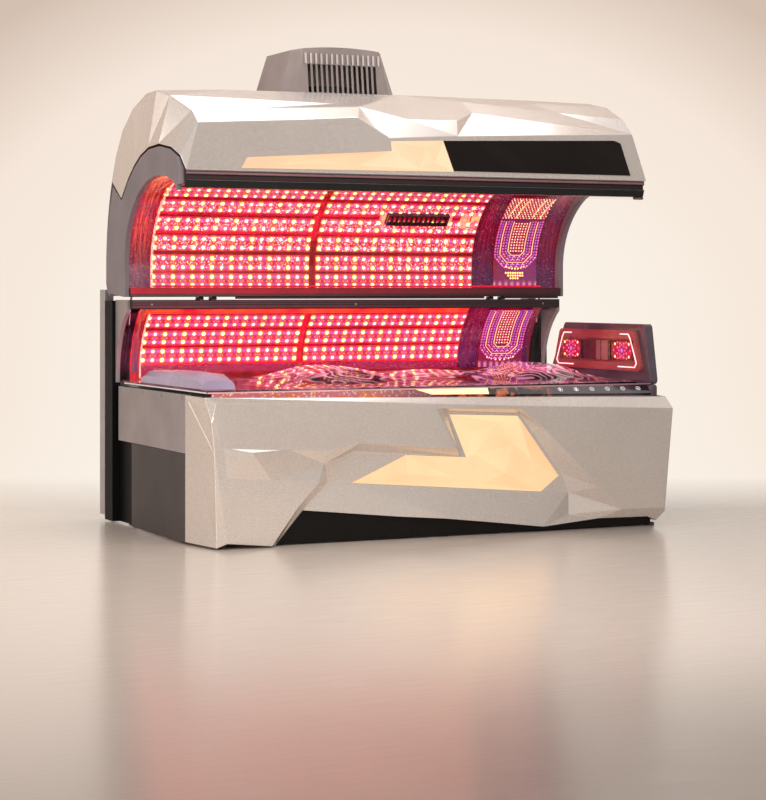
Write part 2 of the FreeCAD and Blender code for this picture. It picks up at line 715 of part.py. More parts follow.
def casing_points():
    """Corners of the casing: name to (x, y, z)."""
    end = v("base_length/2")
    face = v("-base_depth/2")
    proud = face - v("gem_relief")
    dip = face + v("gem_relief")
    floor = face + v("recess_depth")
    high = v("casing_high")
    low = v("casing_low")
    depth = v("casing_end_depth")
    bevel = [strip_point(x, v("bevel_share")) for x in (-end, end)]

    def rise(z):
        """Height of a drawn corner under this casing's top."""
        return z * high / DRAWN_CASING

    return {
        # left return and corner bevel
        "left_back_top": (-end, face + depth, high + 14),
        "left_back_low": (-end, face + depth, rise(12)),
        "left_top": (-end, face + 8, high),
        "left_knee": (-end + 24, face + 3, high - 80),
        "left_bow": (-end + 39, face, high - 215),
        "left_foot": (-end + 52, face + 10, rise(8)),
        "in_left_top": (-end + 44, face, high - 9),
        "in_left_bow": (-end + 64, face, high - 195),
        "in_left_low": (-end + 98, face, rise(26)),
        # top bevel between the face and the control strip
        "right_top": (end, face, low),
        "edge_left": (along(-71), face, casing_top(along(-71))),
        "edge_right": (along(343), face, casing_top(along(343))),
        "bevel_left": (-end, bevel[0].y, bevel[0].z),
        "bevel_right": (end, bevel[1].y, bevel[1].z),
        # right corner
        "in_right_top": (end - 9, face, low + 0.3),
        "in_right_low": (end - 47, face, rise(86)),
        "right_low": (end - 39, face + 8, rise(70)),
        "right_foot": (end - 76, face + 30, rise(24)),
        "right_back_top": (end, face + depth, low + 60),
        "right_back_low": (end, face + depth, rise(12)),
        # faceted field
        "gem_a": (along(-1068), face, rise(427)),
        "gem_b": (along(-947), proud, rise(404)),
        "gem_c": (along(-765), face, rise(411)),
        "gem_d": (along(-593), face, rise(402)),
        "gem_e": (along(-598), dip, rise(345)),
        "gem_f": (along(-1055), face, rise(300)),
        "gem_g": (along(-854), face, rise(286)),
        "gem_h": (along(-630), face, rise(272)),
        # outer edge of the diagonal bevel
        "cut_top": (along(-438), face, rise(430)),
        "cut_low": (along(-723), face, rise(175)),
        "cut_foot": (along(-852), face, rise(6)),
        # inner edge of the diagonal bevel, on the recess floor
        "in_top": (along(-466), floor, rise(392)),
        "in_mid": (along(-584), floor, rise(263)),
        "in_low": (along(-700), floor - 8, rise(149)),
        "in_foot": (along(-815), floor + 11, rise(6)),
        # upper edge of the recess
        "arm_end": (along(32), face, rise(389)),
        "arm_in": (along(60), floor, rise(356)),
        "notch_top": (along(-71), face, casing_top(along(-71)) - 16),
        "notch_right": (along(343), face, casing_top(along(343)) - 14),
        "notch_in": (along(-12), floor, rise(552)),
        "notch_far": (along(360), floor, rise(536)),
        # right edge of the recess
        "slope_top": (along(487), face, rise(451)),
        "slope_far": (along(758), face, rise(193)),
        "slope_low": (along(875), face, rise(88)),
        "slope_mid": (along(574), floor, rise(262)),
        "slope_in": (along(612), floor, rise(172)),
        "slope_step": (along(610), floor - 6, rise(73)),
        # light panel's opening
        "open_a": (along(-467), floor, rise(256)),
        "open_b": (along(-208), floor, rise(369)),
        "open_c": (along(90), floor, rise(350)),
        "open_d": (along(8), floor, rise(541)),
        "open_e": (along(350), floor, rise(527)),
        "open_f": (along(561), floor, rise(251)),
        "open_g": (along(468), floor, rise(182)),
        # lower band
        "band_a": (along(-251), face + 20, rise(103)),
        "band_b": (along(-7), face + 14, rise(83)),
        "band_c": (along(242), face + 10, rise(54)),
        "band_d": (along(471), face + 12, rise(26)),
        "band_e": (along(758), face + 16, rise(50)),
        "band_f": (along(1025), face + 22, rise(46)),
    }


CASING_FACETS = [
    ("left_back_top", "left_back_low", "left_foot", "left_bow", "left_knee", "left_top"),
    ("left_top", "left_knee", "in_left_top"),
    ("left_knee", "left_bow", "in_left_bow", "in_left_top"),
    ("left_bow", "left_foot", "in_left_low", "in_left_bow"),
    ("bevel_left", "left_top", "in_left_top"),
    ("bevel_left", "left_back_top", "left_top"),
    ("bevel_left", "in_left_top", "edge_left"),
    ("bevel_left", "edge_left", "edge_right", "bevel_right"),
    ("bevel_right", "edge_right", "in_right_top"),
    ("bevel_right", "in_right_top", "right_top"),
    ("bevel_right", "right_top", "right_back_top"),
    ("right_top", "in_right_top", "in_right_low", "right_low"),
    ("right_low", "right_foot", "right_back_low"),
    ("right_top", "right_low", "right_back_low"),
    ("right_top", "right_back_low", "right_back_top"),
    ("right_low", "in_right_low", "band_f", "right_foot"),
    # flush face over the field and the recess
    ("in_left_top", "in_left_bow", "gem_a"),
    ("in_left_top", "gem_a", "gem_c"),
    ("in_left_top", "gem_c", "gem_d"),
    ("in_left_top", "gem_d", "cut_top"),
    ("in_left_top", "cut_top", "arm_end", "notch_top", "edge_left"),
    ("edge_left", "notch_top", "notch_right", "edge_right"),
    # faceted field
    ("gem_a", "gem_b", "gem_c"),
    ("gem_a", "gem_f", "gem_b"),
    ("gem_b", "gem_f", "gem_g"),
    ("gem_b", "gem_g", "gem_c"),
    ("gem_c", "gem_g", "gem_e"),
    ("gem_c", "gem_e", "gem_d"),
    ("gem_g", "gem_h", "gem_e"),
    ("gem_d", "gem_e", "cut_top"),
    # face under the field
    ("in_left_bow", "in_left_low", "gem_f"),
    ("in_left_bow", "gem_f", "gem_a"),
    ("gem_f", "in_left_low", "gem_g"),
    ("gem_g", "in_left_low", "cut_foot"),
    ("gem_g", "cut_foot", "cut_low", "gem_h"),
    # diagonal bevel
    ("cut_top", "gem_e", "in_top"),
    ("gem_e", "gem_h", "in_mid"),
    ("gem_e", "in_mid", "in_top"),
    ("gem_h", "cut_low", "in_low", "in_mid"),
    ("cut_low", "cut_foot", "in_foot", "in_low"),
    # recess walls
    ("cut_top", "in_top", "arm_in", "arm_end"),
    ("arm_end", "arm_in", "notch_in", "notch_top"),
    ("notch_top", "notch_in", "notch_far", "notch_right"),
    ("notch_far", "slope_mid", "slope_top", "notch_right"),
    ("slope_mid", "slope_in", "slope_far", "slope_top"),
    ("slope_far", "slope_in", "slope_low"),
    # recess floor round the opening
    ("in_top", "in_mid", "open_a"),
    ("in_top", "open_a", "open_b"),
    ("in_top", "open_b", "arm_in"),
    ("arm_in", "open_b", "open_c"),
    ("arm_in", "open_c", "open_d", "notch_in"),
    ("notch_in", "open_d", "open_e", "notch_far"),
    ("notch_far", "open_e", "open_f", "slope_mid"),
    ("slope_mid", "open_f", "slope_in"),
    ("slope_in", "open_f", "open_g"),
    # lower band
    ("in_mid", "in_low", "band_a", "open_a"),
    ("open_a", "band_a", "band_b"),
    ("open_a", "band_b", "open_g"),
    ("open_g", "band_b", "band_c"),
    ("open_g", "band_c", "slope_in"),
    ("slope_in", "band_c", "band_d"),
    ("slope_in", "band_d", "slope_step"),
    ("slope_step", "band_d", "band_e"),
    ("slope_in", "slope_step", "slope_low"),
    ("slope_step", "band_e", "slope_low"),
    ("slope_low", "band_e", "band_f"),
    ("slope_low", "band_f", "in_right_low"),
    # right face
    ("in_right_top", "edge_right", "notch_right", "slope_top", "slope_far", "slope_low", "in_right_low"),
]


def inset(points, distance):
    """A flat XZ outline, as (x, z) pairs, moved inwards by distance; outwards if negative."""
    count = len(points)
    pairs = zip(points, points[1:] + points[:1])
    area = sum(x0 * z1 - x1 * z0 for (x0, z0), (x1, z1) in pairs)
    turn = 1 if area > 0 else -1
    moved = []
    for index in range(count):
        before = points[index - 1]
        here = points[index]
        after = points[(index + 1) % count]
        lines = []
        for start, end in ((before, here), (here, after)):
            run = math.hypot(end[0] - start[0], end[1] - start[1])
            normal = (-(end[1] - start[1]) / run * turn, (end[0] - start[0]) / run * turn)
            lines.append((normal, normal[0] * start[0] + normal[1] * start[1] + distance))
        (n1, d1), (n2, d2) = lines
        cross = n1[0] * n2[1] - n1[1] * n2[0]
        moved.append(((d1 * n2[1] - d2 * n1[1]) / cross, (n1[0] * d2 - n2[0] * d1) / cross))
    return moved


def build_casing():
    points = casing_points()
    node(shaped(facet_shell(points, CASING_FACETS, v("moulded_wall"))), "front_casing")
    floor = points["open_a"][1]
    outline = [(points[name][0], points[name][2]) for name in
               ("open_a", "open_g", "open_f", "open_e", "open_d", "open_c", "open_b")]
    node(shaped(lit_panel(outline, floor, v("moulded_wall"))), "front_light_panel")


def lit_panel(outline, face_y, shell_wall):
    """A diffuser that fills an opening with an (x, z) outline; its flange runs back to the frame."""
    fitted = inset(outline, v("fit_gap"))
    flange = inset(outline, -v("flange"))
    back = face_y + shell_wall + 1.3
    depth = v("sheet_wall - plinth_front") - back
    plate = [Vector(x, back, z) for x, z in flange]
    plate_solid = face_of(plate).extrude(Vector(0, depth, 0))
    block = [Vector(x, face_y, z) for x, z in fitted]
    block_solid = face_of(block).extrude(Vector(0, back - face_y + depth, 0))
    solid = plate_solid.fuse(block_solid)
    return solid.removeSplitter()


# --- Bench ---

def smooth(share):
    """0 to 1 with level ends."""
    share = min(max(share, 0), 1)
    return share * share * (3 - 2 * share)


def contour(x, y):
    """Height of the moulded acrylic over the rim: a knee hill and a neck hill, level at the edges."""
    left = -v("bench_left")
    right = v("bench_right")
    across = (y - rim_front(x)) / (v("bench_back") - rim_front(x))
    fade = smooth((across - 0.05) / 0.3) * smooth((0.94 - across) / 0.3)
    knee = math.exp(-(((x - along(-343)) / along(210)) ** 2))
    neck = math.exp(-(((x - along(800)) / along(190)) ** 2))
    seat = 0.6 * math.exp(-(((x - along(230)) / along(330)) ** 2))
    ends = smooth((x - left - along(170)) / along(300)) * smooth((right - x - along(20)) / along(190))
    return v("bench_rise") * ends * fade * (knee + neck + seat)


def build_bench():
    rim = v("rim_height")
    left = -v("bench_left")
    right = v("bench_right")
    back = v("bench_back")
    rows = 11
    columns = 21
    poles = []
    for i in range(columns):
        x = left + (right - left) * i / (columns - 1)
        across = [rim_front(x) + (back - rim_front(x)) * j / (rows - 1) for j in range(rows)]
        poles.append([Vector(x, y, rim + contour(x, y)) for y in across])
    surface = Part.BSplineSurface()
    knots = [[k / (count - 3) for k in range(count - 2)] for count in (columns, rows)]
    repeats = [[4] + [1] * (count - 4) + [4] for count in (columns, rows)]
    surface.buildFromPolesMultsKnots(poles, repeats[0], repeats[1], knots[0], knots[1], False, False, 3, 3)
    node(shaped(surface.toShape().extrude(Vector(0, 0, v("acrylic")))), "bench_acrylic")
    lead = v("rim_lead")
    corners = [(left, rim_front(left) + lead), (right, rim_front(right) + lead), (right, back), (left, back)]
    inside = inset(corners, v("rim_width"))
    low = rim - v("rim_thickness")
    rise = Vector(0, 0, v("rim_thickness"))
    members = []
    for number in range(4):
        following = (number + 1) % 4
        outline = [corners[number], corners[following], inside[following], inside[number]]
        members.append(face_of([Vector(x, y, low) for x, y in outline]).extrude(rise))
    bar = v("cross_bar")
    for x in (along(-500), along(120), along(640)):
        start = rim_front(x) + lead + v("rim_width") + 2 * v("seat_gap")
        members.append(Part.makeBox(bar, inside[2][1] - start - v("seat_gap"), bar - 2, Vector(x, start, low)))
    axis = Vector(0, v("bench_hinge_y"), v("bench_hinge_z"))
    for text in BENCH_HINGES:
        x = v(text) + 16 + v("running_gap")
        barrel = Part.makeCylinder(v("knuckle_radius"), 15.4, axis + Vector(x, 0, 0), Vector(1, 0, 0))
        leaf = Part.makeBox(15.4, axis.y - back, v("knuckle_radius") - 1.6, Vector(x, back, axis.z))
        bore = Part.makeCylinder(v("pin_radius") + 0.05, 18, axis + Vector(x - 1, 0, 0), Vector(1, 0, 0))
        members.append(barrel.fuse(leaf).cut(bore))
    node(shaped(Part.Compound(members)), "bench_frame")
    top = rim + v("acrylic") + 0.1
    rest_left = left + 6
    profile = [
        (0, 0), (0, 0.55), (0.12, 0.86), (0.4, 1.0), (0.8, 0.94), (0.94, 0.7), (1, 0.35), (1, 0),
    ]
    front = rim_front(left) + 75
    length = v("rest_length")
    sections = []
    for share, tall in ((0, 0.6), (0.075, 0.96), (0.5, 1.0), (0.925, 0.86), (1, 0.5)):
        y = front + share * length
        height = tall * v("rest_height")
        ring = [Vector(rest_left + a * v("rest_width"), y, top + b * height) for a, b in profile]
        sections.append(Part.makePolygon(ring + [ring[0]]))
    node(shaped(Part.makeLoft(sections, True, True)), "foot_rest")


# --- Lamp wall ---

def boards_on(points, x_ranges, depth, carrier):
    """Lamp boards between successive (y, z) points, one solid each, with their backs on the carrier."""
    boards = []
    for (y0, z0), (y1, z1) in zip(points, points[1:]):
        run = math.hypot(y1 - y0, z1 - z0)
        along = ((y1 - y0) / run, (z1 - z0) / run)
        trim = (run - v("board_height")) / 2 if run > v("board_height") else 2
        start = (y0 + along[0] * trim, z0 + along[1] * trim)
        end = (y1 - along[0] * trim, z1 - along[1] * trim)
        out = (along[1] * depth, -along[0] * depth)
        outline = [start, end, (end[0] + out[0], end[1] + out[1]), (start[0] + out[0], start[1] + out[1])]
        for x0, x1 in x_ranges:
            boards.append(prism(polygon(outline), x0, x1).cut(carrier))
    return Part.Compound(boards)


def lamp_ranges():
    return [(-v("led_left"), v("led_split - split_gap/2")), (v("led_split + split_gap/2"), v("led_right"))]


def face_range():
    return [(v("face_x - face_width/2"), v("face_x + face_width/2"))]


def wall_point(offset, angle):
    radius = v("wall_radius") + offset
    a = math.radians(angle)
    return (v("wall_centre_y") + radius * math.cos(a), v("wall_centre_z") + radius * math.sin(a))


def wall_depth(offset, height):
    """Y just in front of the wall's arc moved outwards by offset, at a height."""
    radius = v("wall_radius") + offset
    return v("wall_centre_y") + math.sqrt(radius**2 - (height - v("wall_centre_z")) ** 2) - 0.2


def build_wall():
    inner = v("base_length/2 - end_plate")
    stand = v("board_gap")
    node(shaped(wall_sheet(0.5, v("acrylic") / 2, -inner, inner)), "wall_acrylic")
    behind = stand + v("board_wall")
    short = v("spring_x - spring_body_radius - 8")
    carrier = wall_sheet(behind, 4 * v("board_wall"), -short, short)
    points = [wall_point(stand, angle) for angle in (5, 19, 33, 47)]
    node(shaped(boards_on(points, lamp_ranges(), 2 * v("board_wall"), carrier)), "wall_led_modules")
    points = [wall_point(stand, angle) for angle in (8, 21, 34, 48)]
    node(shaped(boards_on(points, face_range(), 2 * v("board_wall"), carrier)), "wall_face_panel")
    low = v("rail_top - rail_height") + 2
    back = v("hinge_y + rail_depth")
    top = low + 6
    arm = polygon([(back, low), (back, top), (wall_depth(behind, top), top), (wall_depth(behind, low), low)])
    half = 15
    brackets = [prism(arm, x - half, x + half) for x in map(along, (-900, -300, 300, 900))]
    sheet_piece = wall_sheet(behind, v("reflector_wall"), -short, short)
    node(shaped(Part.Compound([sheet_piece] + brackets)), "wall_reflector")
    plates = []
    arc = wall_edges(0)
    first = wall_point(0, -v("wall_dip"))
    last = wall_point(0, v("wall_sweep"))
    edge = v("channel_front")
    top = v("rail_top")
    outline = Part.Wire(Part.__sortEdges__(arc + [
        Part.makeLine(yz(*last), yz(last[0], top)),
        Part.makeLine(yz(last[0], top), yz(edge, top)),
        Part.makeLine(yz(edge, top), yz(edge, first[1])),
        Part.makeLine(yz(edge, first[1]), yz(*first)),
    ]))
    for x0, x1 in ((-v("base_length/2"), -inner), (inner, v("base_length/2"))):
        plates.append(prism(outline, x0, x1))
    node(shaped(Part.Compound(plates)), "wall_end_plates")
    rail = bar_along_x("seam_bar", [
        ("hinge_y - 2", "rail_top - rail_height"), ("hinge_y + rail_depth", "rail_top - rail_height"),
        ("hinge_y + rail_depth", "rail_top"), ("hinge_y - 2", "rail_top"),
    ], "-base_length/2 + end_plate", "base_length/2 - end_plate")
    return rail


# --- Seam hinge ---

def build_hinge(rail):
    """Knuckles alternate between the middle rail and the canopy's bottom rail on one pin line."""
    fixed = []
    moving = []
    pins = []
    half = "knuckle_length/2"
    for side in ("-1", "1"):
        for pair in ("-0.5", "0.5"):
            middle = f"{side}*hinge_x + {pair}*hinge_pitch"
            start = f"{middle} - {half}"
            fixed.append(cylinder("x", start, "hinge_y", "hinge_z", "knuckle_radius",
                                  "knuckle_length/2 - running_gap"))
            fixed.append(box(start, f"{middle} - running_gap", "hinge_y + 1", "hinge_y + 9",
                             "rail_top - 1", "hinge_z"))
            moving.append(cylinder("x", f"{middle} + running_gap", "hinge_y", "hinge_z",
                                   "knuckle_radius", "knuckle_length/2 - running_gap"))
            moving.append(box(f"{middle} + running_gap", f"{middle} + {half}", "hinge_y + 1", "hinge_y + 9",
                              "hinge_z", "canopy_bottom + 1"))
            pins.append(cylinder("x", start, "hinge_y", "hinge_z", "pin_radius", "knuckle_length"))
    bore = [cylinder("x", f"{side}*hinge_x - hinge_pitch", "hinge_y", "hinge_z",
                     "pin_radius + 0.05", "2*hinge_pitch") for side in ("-1", "1")]
    screw_places = ("-base_length/2 + 115", "0", "base_length/2 - 115")
    node(cut(fuse([rail] + fixed), fuse(bore)), "middle_rail")
    node(group(pins), "hinge_pins")
    bottom = bar_along_x("bottom_bar", [
        ("hinge_y - 2", "canopy_bottom"), ("hinge_y + rail_depth", "canopy_bottom"),
        ("hinge_y + rail_depth", "canopy_bottom + rail_height"),
        ("hinge_y - 2", "canopy_bottom + rail_height"),
    ], "-canopy_half + cap_wall", "canopy_half - cap_wall")
    canopy_bore = [cylinder("x", f"{side}*hinge_x - hinge_pitch", "hinge_y", "hinge_z",
                            "pin_radius + 0.05", "2*hinge_pitch") for side in ("-1", "1")]
    node(cut(fuse([bottom] + moving), fuse(canopy_bore)), "canopy_bottom_rail")
    screws = [cylinder("y", x, "hinge_y - 5", "rail_top - rail_height/2", "5", "3") for x in screw_places]
    for side in ("-1", "1"):
        start = f"{side}*(base_length/2 + 1.5) - 1.5"
        for step in ("51", "311", "571"):
            screws.append(cylinder("x", start, f"-side_front + {step}", "side_top - 16", "6", "3"))
    node(group(screws), "panel_screws")


# --- Canopy ---

def section_tail():
    """The canopy's outer section behind the crown, down to the shell's back edge."""
    drawn = [(120, 1980), (250, 1920), (365, 1830), (450, 1718)]
    return [(aft(y), up(z)) for y, z in drawn] + [(v("seam_y"), v("seam_z"))]


def canopy_points():
    """Corners of the canopy shell: name to (x, y, z)."""
    end = v("canopy_half")
    fy = v("fascia_y")
    fz = v("fascia_z")
    points = {
        "low_left": (-end + 23, fy, fz),
        "low_right": (end + 6, fy, fz),
        "top_left": (-end + 110, aft(-351), up(1820)),
        "top_a": (along(-569), aft(-339), up(1848)),
        "top_b": (along(-283), aft(-331), up(1868)),
        "top_c": (along(-141), aft(-370), up(1775)),
        "top_d": (along(207), aft(-361), up(1796)),
        "top_e": (end - 14, aft(-347), up(1833)),
        "low_b": (along(-141), fy, fz),
        "low_c": (along(207), fy, fz),
        "brow_left": (-end + 115, aft(-263), up(1877)),
        "brow_a": (along(-763), aft(-225), up(1898)),
        "brow_b": (along(-222), aft(-214), up(1925)),
        "brow_c": (along(-20), aft(-305), up(1868)),
        "brow_d": (along(240), aft(-290), up(1872)),
        "brow_e": (along(375), aft(-180), up(1921)),
        "brow_f": (along(859), aft(-150), up(1940)),
        "brow_g": (end - 2, aft(-240), up(1912)),
        "ridge_left": (-end + 64, aft(-119), up(1953)),
        "ridge_a": (along(-774), aft(-131), up(1950)),
        "ridge_b": (along(-327), aft(-160), up(1940)),
        "ridge_c": (along(52), aft(-10), up(2006)),
        "ridge_d": (along(370), aft(-66), up(1984)),
        "ridge_e": (along(620), aft(-109), up(1962)),
        "ridge_f": (along(760), aft(-50), up(1990)),
        "ridge_g": (end - 9, aft(-110), up(1978)),
        "crown_left": (-end + 42, aft(0), up(1984)),
        "crown_a": (along(-774), aft(0), up(2000)),
        "crown_b": (along(-327), aft(0), up(2005)),
        "crown_c": (along(52), aft(20), up(2010)),
        "crown_d": (along(370), aft(10), up(2010)),
        "crown_f": (along(760), aft(10), up(2010)),
        "crown_g": (end - 44, aft(0), up(2005)),
        # end of the shell around the foot-end cap
        "cap_1": (-end + 14, aft(-388), up(1672)),
        "cap_2": (-end + 4, aft(-299), up(1712)),
        "cap_3": (-end, aft(-150), up(1735)),
        "cap_4": (-end, aft(-6), up(1728)),
        "cap_5": (-end, aft(104), up(1698)),
        "cap_6": (-end, aft(189), up(1658)),
        "cap_7": (-end, aft(275), up(1603)),
        "cap_8": (-end, aft(376), up(1515)),
        # the same at the head end
        "pac_1": (end - 2, aft(-388), up(1672)),
        "pac_2": (end, aft(-299), up(1712)),
        "pac_3": (end, aft(-150), up(1735)),
        "pac_4": (end, aft(-6), up(1728)),
        "pac_5": (end, aft(104), up(1698)),
        "pac_6": (end, aft(189), up(1658)),
        "pac_7": (end, aft(275), up(1603)),
        "pac_8": (end, aft(376), up(1515)),
    }
    tucks = (34, 14, 4, 0, 0)
    for number, ((y, z), tuck) in enumerate(zip(section_tail(), tucks), start=1):
        for side, x in (("left", tuck - end), ("mid", 0), ("right", end - tuck)):
            points[f"tail_{number}_{side}"] = (x, y, z)
    return points


CANOPY_FACETS = [
    # fascia
    ("low_left", "low_b", "top_c", "top_b", "top_a", "top_left"),
    ("low_b", "low_c", "top_d", "top_c"),
    ("low_c", "low_right", "top_e", "top_d"),
    # band over the fascia
    ("top_left", "top_a", "brow_a", "brow_left"),
    ("top_a", "top_b", "brow_b", "brow_a"),
    ("top_b", "top_c", "brow_b"),
    ("top_c", "brow_c", "brow_b"),
    ("top_c", "top_d", "brow_c"),
    ("top_d", "brow_d", "brow_c"),
    ("top_d", "brow_e", "brow_d"),
    ("top_d", "top_e", "brow_e"),
    ("top_e", "brow_f", "brow_e"),
    ("top_e", "brow_g", "brow_f"),
    # ridge band
    ("brow_left", "brow_a", "ridge_a", "ridge_left"),
    ("brow_a", "brow_b", "ridge_b"),
    ("brow_a", "ridge_b", "ridge_a"),
    ("brow_b", "brow_c", "ridge_c"),
    ("brow_b", "ridge_c", "ridge_b"),
    ("brow_c", "brow_d", "ridge_c"),
    ("brow_d", "ridge_d", "ridge_c"),
    ("brow_d", "brow_e", "ridge_d"),
    ("brow_e", "ridge_e", "ridge_d"),
    ("brow_e", "brow_f", "ridge_e"),
    ("brow_f", "ridge_f", "ridge_e"),
    ("brow_f", "brow_g", "ridge_g"),
    ("brow_f", "ridge_g", "ridge_f"),
    # crown band
    ("ridge_left", "ridge_a", "crown_a", "crown_left"),
    ("ridge_a", "ridge_b", "crown_b", "crown_a"),
    ("ridge_b", "ridge_c", "crown_c", "crown_b"),
    ("ridge_c", "ridge_d", "crown_d", "crown_c"),
    ("ridge_d", "ridge_e", "crown_d"),
    ("ridge_e", "ridge_f", "crown_f", "crown_d"),
    ("ridge_f", "ridge_g", "crown_g", "crown_f"),
    # roof behind the crown
    ("crown_left", "crown_a", "tail_1_left"),
    ("crown_a", "crown_b", "tail_1_mid", "tail_1_left"),
    ("crown_b", "crown_c", "tail_1_mid"),
    ("crown_c", "crown_d", "tail_1_mid"),
    ("crown_d", "crown_f", "tail_1_right", "tail_1_mid"),
    ("crown_f", "crown_g", "tail_1_right"),
]
for step in (1, 2, 3, 4):
    CANOPY_FACETS += [
        (f"tail_{step}_left", f"tail_{step}_mid", f"tail_{step + 1}_mid", f"tail_{step + 1}_left"),
        (f"tail_{step}_mid", f"tail_{step}_right", f"tail_{step + 1}_right", f"tail_{step + 1}_mid"),
    ]
CANOPY_FACETS += [
    # foot end, from the fascia corner round to the back tip
    ("low_left", "top_left", "cap_1"),
    ("top_left", "brow_left", "cap_2", "cap_1"),
    ("brow_left", "ridge_left", "cap_3", "cap_2"),
    ("ridge_left", "crown_left", "cap_4", "cap_3"),
    ("crown_left", "tail_1_left", "cap_5", "cap_4"),
    ("tail_1_left", "tail_2_left", "cap_6", "cap_5"),
    ("tail_2_left", "tail_3_left", "cap_7", "cap_6"),
    ("tail_3_left", "tail_4_left", "cap_8", "cap_7"),
    ("tail_4_left", "tail_5_left", "cap_8"),
    # head end
    ("low_right", "pac_1", "top_e"),
    ("top_e", "pac_1", "pac_2", "brow_g"),
    ("brow_g", "pac_2", "pac_3", "ridge_g"),
    ("ridge_g", "pac_3", "pac_4", "crown_g"),
    ("crown_g", "pac_4", "pac_5", "tail_1_right"),
    ("tail_1_right", "pac_5", "pac_6", "tail_2_right"),
    ("tail_2_right", "pac_6", "pac_7", "tail_3_right"),
    ("tail_3_right", "pac_7", "pac_8", "tail_4_right"),
    ("tail_4_right", "pac_8", "tail_5_right"),
]


def fascia_depth(z):
    """Y of the fascia plane at height z."""
    lean = 93 / 226
    return v("fascia_y") + lean * (z - v("fascia_z"))


def fascia_plate(outline, proud, wall):
    """A plate with a drawn (x, z) outline that lies on the fascia plane, proud of it."""
    lean = math.atan2(fascia_depth(v("fascia_z") + 100) - v("fascia_y"), 100)
    normal = Vector(0, -math.cos(lean), math.sin(lean))
    corners = [Vector(along(x), fascia_depth(up(z)), up(z)) + normal * proud for x, z in outline]
    return face_of(corners).extrude(normal * -wall)


def build_canopy_shell():
    shell = facet_shell(canopy_points(), CANOPY_FACETS, v("moulded_wall"))
    foot = Vector(v("duct_x"), v("exhaust_y"), up(1700))
    hole = Part.makeCylinder(v("exhaust_radius") + 2, 400, foot)
    node(shaped(shell.cut(hole)), "canopy_shell")
    lit = [(-887, 1622), (-851, 1666), (-144, 1716), (-139, 1756), (122, 1770), (147, 1630)]
    node(shaped(fascia_plate(lit, 3, 2.7)), "canopy_light_panel")
    dark = [(150, 1630), (125, 1770), (1040, 1798), (1072, 1785), (1088, 1630)]
    node(shaped(fascia_plate(dark, 3, 2.7)), "display_panel")


def cap_outline():
    """Closed section of an end cap: arch inside, shell and back cover outside."""
    gap = v("fit_gap + 0.4")
    back = v("canopy_back") - gap
    rail_low = v("fascia_z - rail_drop")
    front = v("fascia_y")
    lip = front + 56
    shell = [(-384, 1662), (-297, 1702), (-150, 1724), (-8, 1718), (98, 1689), (183, 1650), (268, 1596),
             (372, 1505), (500, 1576), (548, 1470), (582, 1350)]
    foot = [(579, 1090), (545, 1072)]
    return [
        (lip, rail_low - 1), (lip, rail_low + 12), (front + 27, rail_low + 14), (front + 26, v("fascia_z") + 6),
        *[(aft(y), up(z)) for y, z in shell],
        (back - 4, up(1230)), (back - 4, up(1120)),
        *[(aft(y), up(z)) for y, z in foot],
        (v("arch_y") + 12, v("canopy_bottom")),
    ]


def back_cover_section():
    """A bent sheet from the shell's back edge down to the seam, as a closed YZ wire."""
    wall = v("sheet_wall")
    back = v("canopy_back")
    seam = v("seam_z") - 2
    curves = []
    for inset_y in (0, wall * 1.05):
        curve = Part.BSplineCurve()
        points = [(v("seam_y"), seam), (aft(560), up(1480)), (aft(590), up(1350)), (back, up(1230))]
        curve.interpolate([yz(y - inset_y, z) for y, z in points])
        curves.append(curve.toShape())
    outer = [(back, up(1230)), (back, up(1120)), (aft(585), up(1083)), (aft(545), up(1062))]
    inner = [(back - wall * 1.05, up(1230)), (back - wall, up(1121)),
             (aft(583), up(1086)), (aft(545), up(1066))]
    edges = curves + [Part.makeLine(yz(*a), yz(*b)) for a, b in zip(outer, outer[1:])]
    edges += [Part.makeLine(yz(*a), yz(*b)) for a, b in zip(inner, inner[1:])]
    edges.append(Part.makeLine(yz(v("seam_y"), seam), yz(v("seam_y") - wall * 1.05, seam)))
    edges.append(Part.makeLine(yz(*outer[-1]), yz(*inner[-1])))
    return Part.Wire(Part.__sortEdges__(edges))


def build_canopy():
    half = v("canopy_half")
    cap = v("cap_wall")
    inside = half - cap
    outline = cap_outline()
    arch = arch_edges(0, foot="canopy_bottom")
    arch_wire = Part.Wire(Part.__sortEdges__(arch))
    ends = [arch_wire.OrderedVertexes[0].Point, arch_wire.OrderedVertexes[-1].Point]
    low_end = min(ends, key=lambda p: p.z)
    front_end = max(ends, key=lambda p: p.z)
    chain = [Part.makeLine(yz(*a), yz(*b)) for a, b in zip(outline, outline[1:])]
    chain.append(Part.makeLine(yz(*outline[-1]), low_end))
    chain.append(Part.makeLine(front_end, yz(*outline[0])))
    section = Part.Wire(Part.__sortEdges__(arch + chain))
    node(shaped(prism(section, -half + 0.5, -half + cap)), "canopy_left_cap")
    node(shaped(prism(section, half - cap, half - 0.5)), "canopy_right_cap")
    node(shaped(prism(back_cover_section(), -half + 1, half - 1)), "canopy_back_cover")
    # lamps inside the arch
    stand = v("board_gap")
    hole = build_air_outlet()
    node(shaped(arch_sheet(1, v("acrylic") / 2, -inside, inside).cut(hole)), "canopy_acrylic")
    behind = stand + v("board_wall")
    node(shaped(arch_sheet(behind, v("reflector_wall"), -inside, inside, "lamp_lip")), "canopy_reflector")
    carrier = arch_sheet(behind, 4 * v("board_wall"), -inside, inside, "lamp_lip").fuse(hole)
    points = [arch_point(stand, up(height)) for height in (1101, 1180, 1266, 1355, 1439, 1515, 1562)]
    node(shaped(boards_on(points, lamp_ranges(), 2 * v("board_wall"), carrier)), "canopy_led_modules")
    points = [arch_point(stand, up(height)) for height in (1185, 1262, 1339, 1412, 1478, 1530)]
    node(shaped(boards_on(points, face_range(), 2 * v("board_wall"), carrier)), "canopy_face_panel")


